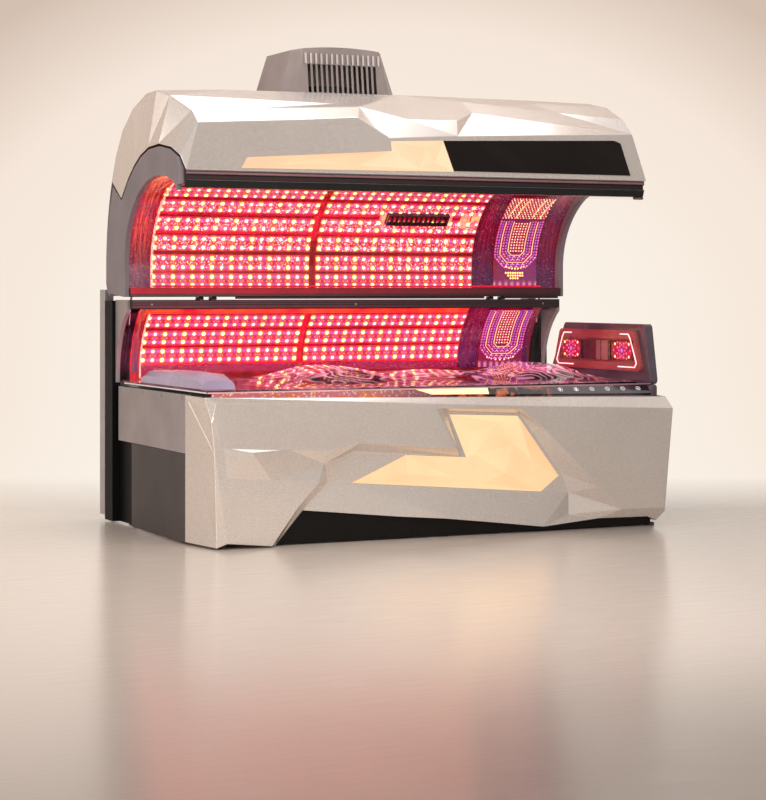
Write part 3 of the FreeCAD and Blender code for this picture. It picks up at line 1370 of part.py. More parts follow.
def arch_point(offset, height):
    """(y, z) on the arch moved outwards by offset, at a height over its springing."""
    spring = v("arch_spring")
    back = v("arch_y") + offset
    if height <= spring:
        return (back, height)
    rise = v("arch_rise") + offset
    reach = back - v("arch_centre_y")
    share = min((height - spring) / rise, 0.999)
    return (v("arch_centre_y") + reach * math.sqrt(1 - share * share), height)


def build_canopy_structure():
    end = "spring_x - 16"
    rear = ("hinge_y + 182", "hinge_z + 39")
    knee = ("hinge_y + 72", "hinge_z + 549")
    ridge = ("hinge_y - 298", "hinge_z + 809")
    brow = ("hinge_y - 648", "hinge_z + 609")
    members = [square_tube("x", f"-({end})", y, z, f"2*({end})") for y, z in (rear, knee, ridge, brow)]
    ties = [
        [(348, 1062), (348, 1088), (500, 1118), (500, 1092)],
        [(505, 1130), (535, 1130), (425, 1600), (395, 1600)],
        [(395, 1640), (425, 1640), (60, 1895), (60, 1865)],
        [(20, 1865), (20, 1895), (-325, 1700), (-295, 1700)],
        [(-330, 1665), (-330, 1695), (-398.4, 1695), (-410.8, 1665)],
        [(540, 1121), (540, 1130), (599.7, 1160), (599.7, 1140)],
        [(430, 1605), (430, 1625), (496.4, 1625), (507.4, 1605)],
    ]
    wall = 8
    for x in map(along, (-900, 0, 890)):
        for tie in ties:
            outline = [(aft(y), up(z)) for y, z in tie]
            members.append(shaped(prism(polygon(outline), x, x + wall)))
    eye = v("spring_eye_wall") / 2 + v("running_gap")
    pin = 12
    arm = [(aft(y), up(z)) for y, z in ((426, 1078), (426, 1104), (500, 1129), (500, 1091))]
    plate = 6
    for sign in (-1, 1):
        near = sign * (v("spring_x") - eye)
        far = near - sign * pin
        circle = circle_wire(v("spring_head_y"), v("spring_head_z"), 9)
        members.append(shaped(prism(circle, min(near, far), max(near, far))))
        back = far - sign * plate
        members.append(shaped(prism(polygon(arm), min(far, back), max(far, back))))
    node(group(members), "canopy_frame")
    rail = bar_along_x("rail", [
        ("fascia_y + 2", "fascia_z - 1.9"), ("fascia_y + 2", "fascia_z - 22"),
        ("fascia_y + 12", "fascia_z - 22"), ("fascia_y + 12", "fascia_z - 42"), ("fascia_y + 2", "fascia_z - 42"),
        ("fascia_y + 14", "fascia_z - rail_drop"), ("fascia_y + 52", "fascia_z - rail_drop"),
        ("fascia_y + 52", "fascia_z - rail_drop + 6"), ("fascia_y + 24", "fascia_z - rail_drop + 10"),
        ("fascia_y + 24", "fascia_z - 1.9"),
    ], "-canopy_half + 24", "canopy_half - 4")
    knob = cylinder("x", "canopy_half - 50", "fascia_y + 22", "fascia_z - rail_drop - 6", "6", "50")
    node(group([rail, knob]), "canopy_front_rail")


def circle_wire(y, z, radius):
    """A circle in the YZ plane."""
    return Part.Wire(Part.makeCircle(radius, yz(y, z), Vector(1, 0, 0)))


def build_air_outlet(width=330):
    """An air outlet with fixed vanes, from the acrylic's face back to the reflector."""
    y, z = arch_point(0, up(1425))
    lean = 52
    depth = v("board_gap + board_wall") - 3

    def block(wide, deep, tall, start):
        return Part.makeBox(wide, deep, tall, Vector(-wide / 2, start, -tall / 2))

    fins = [Part.makeBox(4, 18, 50, Vector(-width / 2 + 28 + 26 * n, 2, -25)) for n in range(11)]
    outlet = block(width, depth, 62, 0).cut(block(width - 12, depth + 2, 50, -1)).multiFuse(fins)
    hole = block(width + 0.6, depth + 30, 62.6, -10)
    for shape in (outlet, hole):
        shape.Placement = Placement(Vector(along(305), y, z), Rotation(Vector(1, 0, 0), 90 - lean))
    node(shaped(outlet), "air_outlet")
    return hole


# --- Exhaust duct and fan ---

def duct_ring(z, shrink):
    """Corners of the duct's outline at height z, walls moved inwards by shrink."""
    top = v("duct_top")
    share = (top - z) / (top - up(1985))
    half = v("duct_half_top") + v("duct_half_base - duct_half_top") * share - shrink
    slot_half = v("grille_half_top") + v("grille_half_base - grille_half_top") * share - shrink
    front = v("duct_front") - 12 * share + shrink
    nose = v("duct_front") - 55 - 30 * share + shrink
    back = v("duct_back") - shrink
    outline = [(-half, back), (-half, front), (-slot_half, nose),
               (slot_half, nose), (half, front), (half, back)]
    return [Vector(v("duct_x") + x, y, z) for x, y in outline]


def build_duct():
    x = v("duct_x")
    top = v("duct_top")

    def body(shrink, lift):
        wires = []
        for z in (up(1560), top - lift):
            ring = duct_ring(z, shrink)
            wires.append(Part.makePolygon(ring + [ring[0]]))
        return Part.makeLoft(wires, True, True)

    reach = v("duct_half_top") + 29
    front = v("duct_front") - 110
    ends = [Vector(x - reach, front, top), Vector(x + reach, front, top)]
    arc = Part.Arc(ends[0], Vector(x, front, top + v("duct_crown")), ends[1]).toShape()
    cap_face = Part.Face(Part.Wire([arc, Part.makeLine(ends[1], ends[0])]))
    cap = cap_face.extrude(Vector(0, v("duct_back") - front, 0)).common(tall_prism(duct_ring(top, 0)))
    wall = v("duct_wall")
    shell = body(0, 0).fuse(cap).cut(body(wall, wall))
    roof = prism(polygon(roof_outline(2 * v("seat_gap"))), -v("canopy_half"), v("canopy_half"))
    shell = shell.cut(roof)
    slots = []
    count = int(v("slot_count"))
    width = v("slot_width")
    for index in range(count):
        start = x + (index - (count - 1) / 2) * v("slot_pitch") - width / 2
        slots.append(Part.makeBox(width, 70, top - 64 - up(1985), Vector(start, front, up(1985))))
    node(shaped(shell.cut(Part.Compound(slots))), "exhaust_duct")
    fan_y = v("exhaust_y")
    level = v("exhaust_level")
    reach = v("exhaust_radius")
    plates = []
    for z in (level, level + v("sheet_wall")):
        ring = duct_ring(z, wall)
        plates.append(Part.makePolygon(ring + [ring[0]]))
    baffle = Part.makeLoft(plates, True, True)
    collar = Part.makeCylinder(reach + 6, v("fan_depth") + 16, Vector(x, fan_y, level))
    bore = Part.makeCylinder(reach + 2, v("fan_depth") + 18, Vector(x, fan_y, level - 1))
    seat = Part.makeBox(2 * reach + 8, 12, 8, Vector(x - reach - 4, fan_y - 6, level))
    hub = Part.makeCylinder(20, 12, Vector(x, fan_y, level))
    node(shaped(baffle.fuse(collar).cut(bore).multiFuse([seat, hub])), "exhaust_fan_housing")


def roof_outline(offset):
    """The canopy's roof section with the space under it, moved out by offset."""
    crown = [(aft(y), up(z)) for y, z in ((-20, 2005), (0, 2005), (20, 2010))]
    top = crown + section_tail() + [(aft(560), up(1480))]
    raised = [(y + offset * 0.4, z + offset) for y, z in top]
    return raised + [(aft(560) + offset, up(1400)), (aft(-20), up(1400))]


def tall_prism(points):
    """A tall prism over a flat outline, for trimming."""
    low = [Vector(p.x, p.y, p.z - 10) for p in points]
    return face_of(low).extrude(Vector(0, 0, 200))


def rotor(name, radius, depth, hub_radius):
    """A fan wheel about its own Z axis: a hub and evenly spaced blades."""
    body = doc.addObject("PartDesign::Body", name)
    hub = sketch_on(body, "XY_Plane")
    bound_circle(hub, "0", "0", hub_radius)
    pad(body, hub, depth)
    blade = sketch_on(body, "XY_Plane", "blade")
    bound_polygon(blade, [
        (f"{hub_radius} - 3", "-10"), (f"{radius} - 4", "-22"),
        (f"{radius} - 4", "-17"), (f"{hub_radius} - 3", "-4"),
    ])
    wing = pad(body, blade, depth)
    pattern = body.newObject("PartDesign::PolarPattern", "blades")
    pattern.Originals = [wing]
    pattern.Axis = (blade, ["N_Axis"])
    pattern.Angle = 360
    pattern.setExpression("Occurrences", cells("blade_count"))
    body.Tip = pattern
    return body


def build_fans():
    exhaust = rotor("exhaust_rotor", "exhaust_radius - 4", "fan_depth", "30")
    node(place(exhaust, x="duct_x", y="exhaust_y", z="exhaust_level + 12 + running_gap"), "exhaust_fan_rotor")
    housings = []
    for side, sign in (("left", "-1"), ("right", "1")):
        fan = rotor(f"{side}_fan", "fan_radius - 3", "fan_depth - 12", "18")
        # the wheel's axis points towards the back
        wall = "channel_back - channel_wall - sheet_wall"
        x = f"{sign}*base_fan_x"
        turn = Rotation(Vector(1, 0, 0), 90)
        place(fan, x=x, y=f"{wall} - 14 - running_gap", z="base_fan_z", rotation=turn)
        node(fan, f"{side}_fan_rotor")
        half = "(fan_radius + 8)"
        frame = box(f"{x} - {half}", f"{x} + {half}", f"{wall} - 48", wall,
                    f"base_fan_z - {half}", f"base_fan_z + {half}")
        bore = cylinder("y", x, f"{wall} - 50", "base_fan_z", "fan_radius", "60")
        arm = box(f"{x} - fan_radius - 2", f"{x} + fan_radius + 2", f"{wall} - 14", f"{wall} - 6",
                  "base_fan_z - 6", "base_fan_z + 6")
        housings.append(fuse([cut(frame, bore), arm]))
    node(group(housings), "base_fan_housings")
    drivers = []
    for index in range(6):
        x = f"-base_length/2 + 220 + {index}*300"
        drivers.append(box(x, f"{x} + 180", "-plinth_front + 230", "-plinth_front + 590",
                           "frame_low + tube + sheet_wall", "frame_low + 115"))
    node(group(drivers), "lamp_driver_bank")
    node(fuse([box("base_length/2 - 330", "base_length/2 - 190", "channel_back - channel_wall",
                   "channel_back + 26", "90", "190"),
               cylinder("y", "base_length/2 - 260", "channel_back + 26", "140", "16", "20")]), "power_inlet")


# --- Counterbalance springs ---

def build_springs():
    """Gas springs between the columns and the canopy's ends. Each head sits beside its canopy pin."""
    foot = Vector(0, v("spring_foot_y"), v("spring_foot_z"))
    head = Vector(0, v("spring_head_y"), v("spring_head_z"))
    axis = head - foot
    length = axis.Length
    axis.normalize()
    body_length = v("spring_body")
    for side, sign in (("left", -1), ("right", 1)):
        x = sign * v("spring_x")
        low = Vector(x, foot.y, foot.z)
        high = Vector(x, head.y, head.z)
        tube = Part.makeCylinder(v("spring_body_radius"), body_length, low + axis * 16, axis)
        eye = Part.makeCylinder(14, 14, low - Vector(7, 0, 0), Vector(1, 0, 0))
        fit = v("spring_pin_radius + running_gap")
        pin_hole = Part.makeCylinder(fit, 16, low - Vector(8, 0, 0), Vector(1, 0, 0))
        neck = Part.makeCylinder(7, 12, low + axis * 8, axis)
        bore = v("spring_rod_radius + running_gap")
        rod_hole = Part.makeCylinder(bore, body_length - 14, low + axis * 34, axis)
        cylinder_shape = tube.multiFuse([eye, neck]).cut(pin_hole).cut(rod_hole)
        node(shaped(cylinder_shape), f"{side}_spring_cylinder")
        rod = Part.makeCylinder(v("spring_rod_radius"), length - 60, low + axis * 50, axis)
        wall = v("spring_eye_wall")
        ball = Part.makeCylinder(v("spring_eye"), wall, high - Vector(wall / 2, 0, 0), Vector(1, 0, 0))
        node(shaped(rod.fuse(ball)), f"{side}_spring_rod")


# --- Control strip, keys and the shoulder tanner ---

def build_strip():
    left = -v("strip_left")
    right = v("strip_right")
    wall = v("strip_wall")
    low = v("strip_start")
    high = v("strip_end")
    lip = low - 0.2
    web = low + 0.01
    section = [(low, 1), (high, 1), (high, 1 - wall), (web, 1 - wall), (web, -2 * wall - 2),
               (lip, -2 * wall - 2), (lip, -wall - 2), (low, -wall - 2)]
    loops = [[strip_point(x, share, lift) for share, lift in section] for x in (left, right)]
    glass = Part.makeLoft([Part.makePolygon(points + [points[0]]) for points in loops], True, True)
    share = (low + high) / 2
    depth = v("key_depth")
    radius = v("key_radius")
    holes = []
    for name, step in (("start_key", 314), ("stop_key", 229), ("fan_key", 144)):
        x = right - step
        middle = strip_point(x, share, 1)
        direction = middle - strip_point(x, share, 0)
        key = Part.makeCylinder(radius, depth + v("key_proud"), middle - direction * depth, direction)
        rim = max((edge for edge in key.Edges if edge.Closed), key=lambda edge: edge.CenterOfMass.z)
        node(shaped(key.makeFillet(1.2, [rim])), name)
        holes.append(Part.makeCylinder(radius + v("running_gap"), 40, middle - direction * 20, direction))
    node(shaped(glass.cut(Part.Compound(holes))), "control_strip")


def rounded(points, radius):
    """A closed YZ outline with its corners rounded by arcs."""
    edges = []
    count = len(points)
    ends = []
    for index in range(count):
        here = yz(*points[index])
        before = yz(*points[index - 1])
        after = yz(*points[(index + 1) % count])
        inward = (before - here).normalize()
        outward = (after - here).normalize()
        half = inward.getAngle(outward) / 2
        reach = radius / math.tan(half)
        start = here + inward * reach
        stop = here + outward * reach
        bisector = (inward + outward).normalize()
        middle = here + bisector * (radius / math.sin(half) - radius)
        ends.append((start, stop))
        edges.append(Part.Arc(start, middle, stop).toShape())
    for index in range(count):
        edges.append(Part.makeLine(ends[index][1], ends[(index + 1) % count][0]))
    return Part.Wire(Part.__sortEdges__(edges))


def build_pod():
    middle = v("pod_middle_y")
    rim = v("rim_height")
    plate_x = v("pod_plate_x")
    back = v("pod_back_x")

    def outline(low_half, high_half, low, high, radius):
        """A rounded trapezium about the pod's middle; low and high are heights over the bench rim."""
        corners = [(middle - low_half, rim + low), (middle + low_half, rim + low),
                   (middle + high_half, rim + high), (middle - high_half, rim + high)]
        return rounded(corners, radius)

    face = prism(outline(412, 345, 45, 236, 26), plate_x, plate_x + v("pod_plate_wall"))
    window = prism(outline(352, 342, 85, 195, 14), plate_x - 1, plate_x + 12)
    node(shaped(face.cut(window)), "shoulder_face")
    lamps = []
    for centre in (middle - 238, middle + 238):
        corners = [(centre - 98, rim + 93), (centre + 98, rim + 93),
                   (centre + 95, rim + 187), (centre - 95, rim + 187)]
        lamps.append(prism(rounded(corners, 16), plate_x + 4, plate_x + 11.7))
    node(shaped(Part.Compound(lamps)), "shoulder_lamps")
    low = v("frame_high + tube + sheet_wall")
    join = v("pod_skirt")
    top = v("pod_top")
    outer = [(middle - 464, join), (middle + 492, join), (middle + 330, top), (middle - 412, top)]
    start = plate_x + v("pod_plate_wall")
    wall = v("moulded_wall")
    hood = prism(rounded(outer, 22), start, back)
    hood = hood.cut(prism(rounded(inset(outer, 1.5 * wall), 16), start + wall, back - wall))
    feet = []
    for y0, y1 in ((middle - 464, middle - 315), (middle - 304, middle + 394)):
        foot = Part.makeBox(back - start, y1 - y0, join - low, Vector(start, y0, low))
        hollow = Part.makeBox(back - start - 2 * wall, y1 - y0 - 2 * wall, join - low,
                              Vector(start + wall, y0 + wall, low - wall))
        feet.append(foot.cut(hollow))
    node(shaped(Part.Compound([hood] + feet)), "shoulder_shell")


def check_and_export():
    doc.recompute()
    faults = []
    for obj in doc.Objects:
        if any(word in ("Invalid", "Error") for word in obj.State):
            faults.append(f"{obj.Label}: {obj.State}")
    for obj in NODES:
        if obj.Shape.isNull() or not obj.Shape.isValid() or obj.Shape.Volume <= 0:
            faults.append(f"{obj.Label}: bad shape")
    if faults:
        raise RuntimeError("; ".join(faults))
    os.makedirs("parts", exist_ok=True)
    for obj in NODES:
        obj.Shape.exportStep(f"parts/{obj.Label}.step")
    print(len(NODES), "nodes")


def main():
    build_frame()
    build_covers()
    build_casing()
    build_bench()
    build_hinge(build_wall())
    build_canopy_shell()
    build_canopy()
    build_canopy_structure()
    build_duct()
    build_fans()
    build_springs()
    build_strip()
    build_pod()
    check_and_export()


main()
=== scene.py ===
"""Looks of a clamshell tanning bed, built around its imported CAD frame. Sizes are in metres.

X runs along the bed towards the head end, Y towards the back and Z up. Every piece is a
surface worked out with numpy, or a softened copy of a CAD node, and rides on its CAD body.
"""
from __future__ import annotations

import json
import logging
import math
from collections.abc import Callable
from dataclasses import dataclass
from enum import Enum

import bmesh
import bpy
import numpy as np
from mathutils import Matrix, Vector
from mathutils.geometry import delaunay_2d_cdt
from numpy.typing import NDArray

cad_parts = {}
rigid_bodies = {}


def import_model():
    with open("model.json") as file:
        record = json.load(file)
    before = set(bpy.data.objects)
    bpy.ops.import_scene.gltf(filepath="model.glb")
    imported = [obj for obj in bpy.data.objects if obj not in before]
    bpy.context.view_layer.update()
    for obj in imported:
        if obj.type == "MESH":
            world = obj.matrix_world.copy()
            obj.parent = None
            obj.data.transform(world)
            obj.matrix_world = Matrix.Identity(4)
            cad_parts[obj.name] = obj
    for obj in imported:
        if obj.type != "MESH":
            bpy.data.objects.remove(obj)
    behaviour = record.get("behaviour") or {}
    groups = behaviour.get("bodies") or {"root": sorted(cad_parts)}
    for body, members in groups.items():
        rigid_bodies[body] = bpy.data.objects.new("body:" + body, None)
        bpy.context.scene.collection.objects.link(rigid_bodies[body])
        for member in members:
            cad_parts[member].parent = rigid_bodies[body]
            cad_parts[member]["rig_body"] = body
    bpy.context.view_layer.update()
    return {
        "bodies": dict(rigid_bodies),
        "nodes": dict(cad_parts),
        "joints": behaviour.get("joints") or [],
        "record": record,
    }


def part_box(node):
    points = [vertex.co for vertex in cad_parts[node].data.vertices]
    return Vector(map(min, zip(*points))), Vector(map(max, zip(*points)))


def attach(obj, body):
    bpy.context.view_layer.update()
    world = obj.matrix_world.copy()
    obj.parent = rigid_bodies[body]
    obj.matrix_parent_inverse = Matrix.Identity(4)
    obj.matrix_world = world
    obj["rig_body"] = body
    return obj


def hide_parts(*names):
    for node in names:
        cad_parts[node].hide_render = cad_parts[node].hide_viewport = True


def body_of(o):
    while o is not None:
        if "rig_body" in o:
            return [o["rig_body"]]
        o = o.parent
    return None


LOG = logging.getLogger("tanning_bed")
Array = NDArray[np.float64]
Colour = tuple[float, float, float]
Place = tuple[float, float, float]
Ranges = tuple[tuple[float, float], ...]
Sockets = dict[str | int, object]
Socket = bpy.types.NodeSocket
Node = bpy.types.Node
Tree = bpy.types.NodeTree
Material = bpy.types.Material
Shown = bpy.types.Object
BLACK_LIGHT: Colour = (0.0, 0.0, 0.0)
# Lamp boards: their height, the lamps' pitch, and how far boards and mirror stand behind the acrylic.
BOARD_HEIGHT = 0.078
LAMP_PITCH = 0.0484
STAND = 0.030
MIRROR_STAND = 0.0375
# The rib that parts each lamp field: its middle in X, and half its width.
SPLIT_X = -0.209
SPLIT_GAP = 0.017
# Rounding of the strips on the rails.
RAIL_BEVEL = 0.0003


def shade(red: float, green: float, blue: float) -> Colour:
    """A linear colour from display values between 0 and 255."""
    def linear(value: float) -> float:
        """One channel without its display curve."""
        share = value / 255
        return share / 12.92 if share <= 0.04045 else ((share + 0.055) / 1.055) ** 2.4

    return (linear(red), linear(green), linear(blue))


def toned(colour: Colour, factor: float, lift: float = 0.0) -> Colour:
    """A colour made paler or darker, and kept under 1."""
    red, green, blue = (min(1.0, factor * part + lift) for part in colour)
    return (red, green, blue)


# --- Node graphs ---


class Graph:
    """A node tree with short calls for the nodes that the finishes use."""

    def __init__(self, tree: Tree) -> None:
        """Empties the tree and keeps it."""
        tree.nodes.clear()
        self.tree = tree
        self.link = tree.links.new

    def node(self, kind: str, inputs: Sockets | None = None,
             **settings: object) -> Node:
        """Adds a node.

        Args:
            kind: the node's type name after ShaderNode.
            inputs: socket name or number to a socket to link or a value to set.
            settings: the node's own options.

        Returns:
            The new node.
        """
        made = self.tree.nodes.new(f"ShaderNode{kind}")
        for name, value in settings.items():
            setattr(made, name, value)
        for key, value in (inputs or {}).items():
            if isinstance(value, Socket):
                self.link(value, made.inputs[key])
            elif made.inputs[key].type == "RGBA":
                made.inputs[key].default_value = (*value, 1.0)
            else:
                made.inputs[key].default_value = value
        return made

    def math(self, operation: str, first: object, second: object = 0.0, third: object = 0.0) -> Socket:
        """A Math node's result."""
        return self.node("Math", {0: first, 1: second, 2: third}, operation=operation).outputs[0]

    def times(self, first: object, second: object) -> Socket:
        """Two values multiplied."""
        return self.math("MULTIPLY", first, second)

    def plus(self, first: object, second: object) -> Socket:
        """Two values added."""
        return self.math("ADD", first, second)

    def mix(self, factor: object, first: object, second: object, blend: str = "MIX") -> Socket:
        """A colour between two, or their blend."""
        inputs: Sockets = {0: factor, 6: first, 7: second}
        return self.node("Mix", inputs, data_type="RGBA", blend_type=blend).outputs[2]

    def span(self, value: object, low: float, high: float, to_low: float = 0.0,
             to_high: float = 1.0) -> Socket:
        """A value carried from one range to another and kept inside it."""
        ends: Sockets = {0: value, 1: low, 2: high, 3: to_low, 4: to_high}
        return self.node("MapRange", ends).outputs[0]

    def noise(self, scale: float, detail: float = 3.0, vector: Socket | None = None,
              stretch: float = 0.0) -> Socket:
        """Noise between 0 and 1 on Object coordinates or on the vector given."""
        inputs: Sockets = {"Scale": scale, "Detail": detail, "Distortion": stretch}
        inputs["Vector"] = vector or self.place()
        return self.node("TexNoise", inputs).outputs[0]

    def cells(self, scale: object, feature: str = "F1") -> Node:
        """A Voronoi texture on Object coordinates."""
        inputs: Sockets = {"Vector": self.place(), "Scale": scale}
        return self.node("TexVoronoi", inputs, feature=feature)

    def scaled(self, vector: Socket, scale: Place) -> Socket:
        """A vector stretched along each axis."""
        return self.node("Mapping", {"Vector": vector, "Scale": scale}).outputs[0]

    def place(self) -> Socket:
        """Object coordinates."""
        return self.node("TexCoord").outputs["Object"]

    def sheet(self) -> Socket:
        """The piece's own UV map, in metres."""
        return self.node("UVMap", uv_map="Metres").outputs[0]

    def split(self, vector: Socket) -> tuple[Socket, Socket, Socket]:
        """The three parts of a vector."""
        made = self.node("SeparateXYZ", {0: vector})
        return made.outputs[0], made.outputs[1], made.outputs[2]

    def bump(self, height: Socket, strength: float, distance: float,
             normal: Socket | None = None) -> Socket:
        """A normal that follows a height."""
        inputs: Sockets = {"Height": height, "Strength": strength, "Distance": distance}
        if normal:
            inputs["Normal"] = normal
        return self.node("Bump", inputs).outputs[0]

    def group(self, tree: Tree, **inputs: object) -> Node:
        """Places a node group; an input's name has its spaces as underscores."""
        made = self.node("Group", node_tree=tree)
        for name, value in inputs.items():
            socket = made.inputs[name.replace("_", " ")]
            if isinstance(value, Socket):
                self.link(value, socket)
            else:
                socket.default_value = value
        return made

    def principled(self, sockets: Sockets) -> Node:
        """A Principled shader with the given sockets."""
        return self.node("BsdfPrincipled", sockets)

    def lit(self, base: Colour, rough: float, light: Socket, strength: float) -> Node:
        """A surface that gives light of its own."""
        return self.principled({"Base Color": base, "Roughness": rough, "Emission Color": light,
                                "Emission Strength": strength})

    def choice(self, factor: Socket, first: Node, second: Node) -> Node:
        """A shader between two."""
        return self.node("MixShader", {0: factor, 1: first.outputs[0], 2: second.outputs[0]})


class Effects:
    """The node groups that several finishes share, each built once."""

    def __init__(self) -> None:
        """Builds every group."""
        self.wear_and_highlight = self._worn_and_lit_edges()
        self.grain = self._moulded_grain()
        self.flake = self._metal_flake()
        self.halo = self._lamp_halo()

    @staticmethod
    def _new(name: str, inputs: dict[str, float], outputs: dict[str, str]) -> tuple[Graph, Node, Node]:
        """A group's graph with its input and output nodes; every input is a number.

        Args:
            name: the group's name.
            inputs: input name to its default value.
            outputs: output name to its kind.

        Returns:
            The graph, the input node and the output node.
        """
        tree = bpy.data.node_groups.new(name, "ShaderNodeTree")
        for label, value in inputs.items():
            socket = tree.interface.new_socket(label, in_out="INPUT", socket_type="NodeSocketFloat")
            socket.default_value = value
        for label, kind in outputs.items():
            tree.interface.new_socket(label, in_out="OUTPUT", socket_type=f"NodeSocket{kind}")
        graph = Graph(tree)
        return graph, tree.nodes.new("NodeGroupInput"), tree.nodes.new("NodeGroupOutput")

    def _worn_and_lit_edges(self) -> Tree:
        """Worn edges with a painted highlight: where a rounded normal leaves the true one, broken up by
        noise.
        """
        graph, given, out = self._new("worn_and_lit_edges", {"Radius": 0.002, "Amount": 0.5},
                                      {"Edge": "Float", "Normal": "Vector"})
        soft = graph.node("Bevel", {"Radius": given.outputs["Radius"]}, samples=6).outputs[0]
        true = graph.node("NewGeometry").outputs["True Normal"]
        facing = graph.node("VectorMath", {0: soft, 1: true},
                            operation="DOT_PRODUCT").outputs["Value"]
        edge = graph.span(facing, 0.995, 0.75)
        broken = graph.times(edge, graph.span(graph.noise(38, 4), 0.3, 0.65, 0.35, 1.0))
        graph.link(graph.times(broken, given.outputs["Amount"]), out.inputs["Edge"])
        graph.link(soft, out.inputs["Normal"])
        return graph.tree

    def _moulded_grain(self) -> Tree:
        """Spark-eroded grain of moulded plastic: small cells over finer noise."""
        outputs = {"Height": "Float", "Tone": "Float"}
        graph, given, out = self._new("moulded_grain", {"Scale": 900.0}, outputs)
        fine = graph.cells(given.outputs["Scale"], feature="SMOOTH_F1").outputs["Distance"]
        dust = graph.noise(6, 5)
        graph.link(graph.plus(fine, graph.times(dust, 0.25)), out.inputs["Height"])
        graph.link(graph.span(dust, 0.3, 0.7), out.inputs["Tone"])
        return graph.tree

    def _metal_flake(self) -> Tree:
        """Metal flake in clear paint: cells that differ in tone, and the paint's slow waviness."""
        graph, given, out = self._new("metal_flake", {"Scale": 1400.0},
                                      {"Tone": "Float", "Wave": "Float", "Cloud": "Float"})
        flakes = graph.cells(given.outputs["Scale"])
        graph.link(graph.split(flakes.outputs["Color"])[0], out.inputs["Tone"])
        graph.link(graph.noise(260, 2), out.inputs["Wave"])
        graph.link(graph.span(graph.noise(1.7, 4), 0.3, 0.7), out.inputs["Cloud"])
        return graph.tree

    def _lamp_halo(self) -> Tree:
        """Glow round a board's lamps, from its own UV map in metres.

        Each lamp lies at a whole number of pitches along U, on one of two rows in V. The glow is
        exp(-(distance / spread) squared); Small is the same halfway between the lamps.
        """
        graph, given, out = self._new(
            "lamp_halo",
            {"Pitch": 0.052, "Low Row": 0.02, "High Row": 0.058, "Spread": 0.011},
            {"Halo": "Float", "Small": "Float", "Odd": "Float"})
        across, up, _ = graph.split(graph.sheet())
        pitch = given.outputs["Pitch"]
        steps = graph.math("DIVIDE", across, pitch)

        def glow(shift: float, spread: object) -> Socket:
            """The glow of lamps that are shifted by a share of a pitch."""
            offset = graph.math("FRACT", graph.plus(steps, 0.5 + shift))
            along = graph.times(graph.math("SUBTRACT", offset, 0.5), pitch)
            low = graph.math("ABSOLUTE", graph.math("SUBTRACT", up, given.outputs["Low Row"]))
            high = graph.math("ABSOLUTE", graph.math("SUBTRACT", up, given.outputs["High Row"]))
            away = graph.math("MINIMUM", low, high)
            square = graph.plus(graph.math("POWER", along, 2.0), graph.math("POWER", away, 2.0))
            share = graph.math("DIVIDE", square, graph.math("POWER", spread, 2.0))
            return graph.math("EXPONENT", graph.times(share, -1.0))

        graph.link(glow(0.0, given.outputs["Spread"]), out.inputs["Halo"])
        graph.link(glow(0.5, graph.times(given.outputs["Spread"], 0.7)), out.inputs["Small"])
        half = graph.math("FRACT", graph.times(graph.plus(steps, 0.5), 0.5))
        graph.link(graph.math("GREATER_THAN", half, 0.5), out.inputs["Odd"])
        return graph.tree


# --- Finishes ---


@dataclass(frozen=True)
class Finish:
    """A procedural finish; each kind builds its own shader."""

    name: str

    def build(self, effects: Effects) -> Material:
        """Makes the material round the finish's own shader."""
        material = bpy.data.materials.new(self.name)
        material.use_nodes = True
        graph = Graph(material.node_tree)
        graph.node("OutputMaterial", {0: self.shader(graph, effects).outputs[0]})
        return material

    def shader(self, graph: Graph, effects: Effects) -> Node:
        """The shader that gives the finish its look."""
        raise NotImplementedError
        raise NotImplementedError


@dataclass(frozen=True)
class MetallicPaint(Finish):
    """Clear-coated paint with metal flake."""

    colour: Colour
    deep: Colour
    roughness: float = 0.25
    metallic: float = 0.66
    edge_radius: float = 0.006

    def shader(self, graph: Graph, effects: Effects) -> Node:
        """Flake tones the base, cloud varies it, edges are paler from wear and a painted highlight, and the
        coat is wavy.
        """
        flake = graph.group(effects.flake, Scale=1500.0)
        wear_and_highlight = graph.group(effects.wear_and_highlight, Radius=self.edge_radius, Amount=0.6)
        base = graph.mix(graph.span(flake.outputs["Cloud"], 0.0, 1.0, 0.0, 0.5), self.colour, self.deep)
        sparkle = graph.mix(graph.span(flake.outputs["Tone"], 0.5, 1.0, 0.0, 0.25), base, (1.0, 0.97, 0.92))
        # Wear and painted highlight: the edge mask paints the edges paler.
        colour = graph.mix(wear_and_highlight.outputs["Edge"], sparkle, (0.9, 0.86, 0.8))
        rough = graph.plus(graph.times(flake.outputs["Tone"], 0.08), self.roughness - 0.04)
        normal = graph.bump(flake.outputs["Wave"], 0.05, 0.0006, wear_and_highlight.outputs["Normal"])
        return graph.principled({
            "Base Color": colour, "Metallic": self.metallic, "Roughness": rough, "Normal": normal,
            "Coat Weight": 0.5, "Coat Roughness": 0.06})


@dataclass(frozen=True)
class CoatedSheet(Finish):
    """Powder-coated sheet steel: a fine peel, faint handling marks, paler edges."""

    colour: Colour
    roughness: float = 0.42
    metallic: float = 0.2
    grain: float = 700.0
    relief: float = 0.12
    gloss: float = 0.5

    def shader(self, graph: Graph, effects: Effects) -> Node:
        """Grain bumps the coat, and slow clouds change its tone and gloss."""
        grain = graph.group(effects.grain, Scale=self.grain)
        wear_and_highlight = graph.group(effects.wear_and_highlight, Radius=0.0015, Amount=0.5)
        tone = graph.mix(grain.outputs["Tone"], self.colour, toned(self.colour, 0.78))
        # Wear and painted highlight: the edge mask paints the edges paler.
        colour = graph.mix(wear_and_highlight.outputs["Edge"], tone, toned(self.colour, 1.5, 0.03))
        rough = graph.span(graph.noise(2.6, 5), 0.25, 0.75, self.roughness - 0.07, self.roughness + 0.09)
        normal = graph.bump(grain.outputs["Height"], self.relief, 0.0004, wear_and_highlight.outputs["Normal"])
        return graph.principled({
            "Base Color": colour, "Metallic": self.metallic, "Roughness": rough, "Normal": normal,
            "Specular IOR Level": self.gloss})


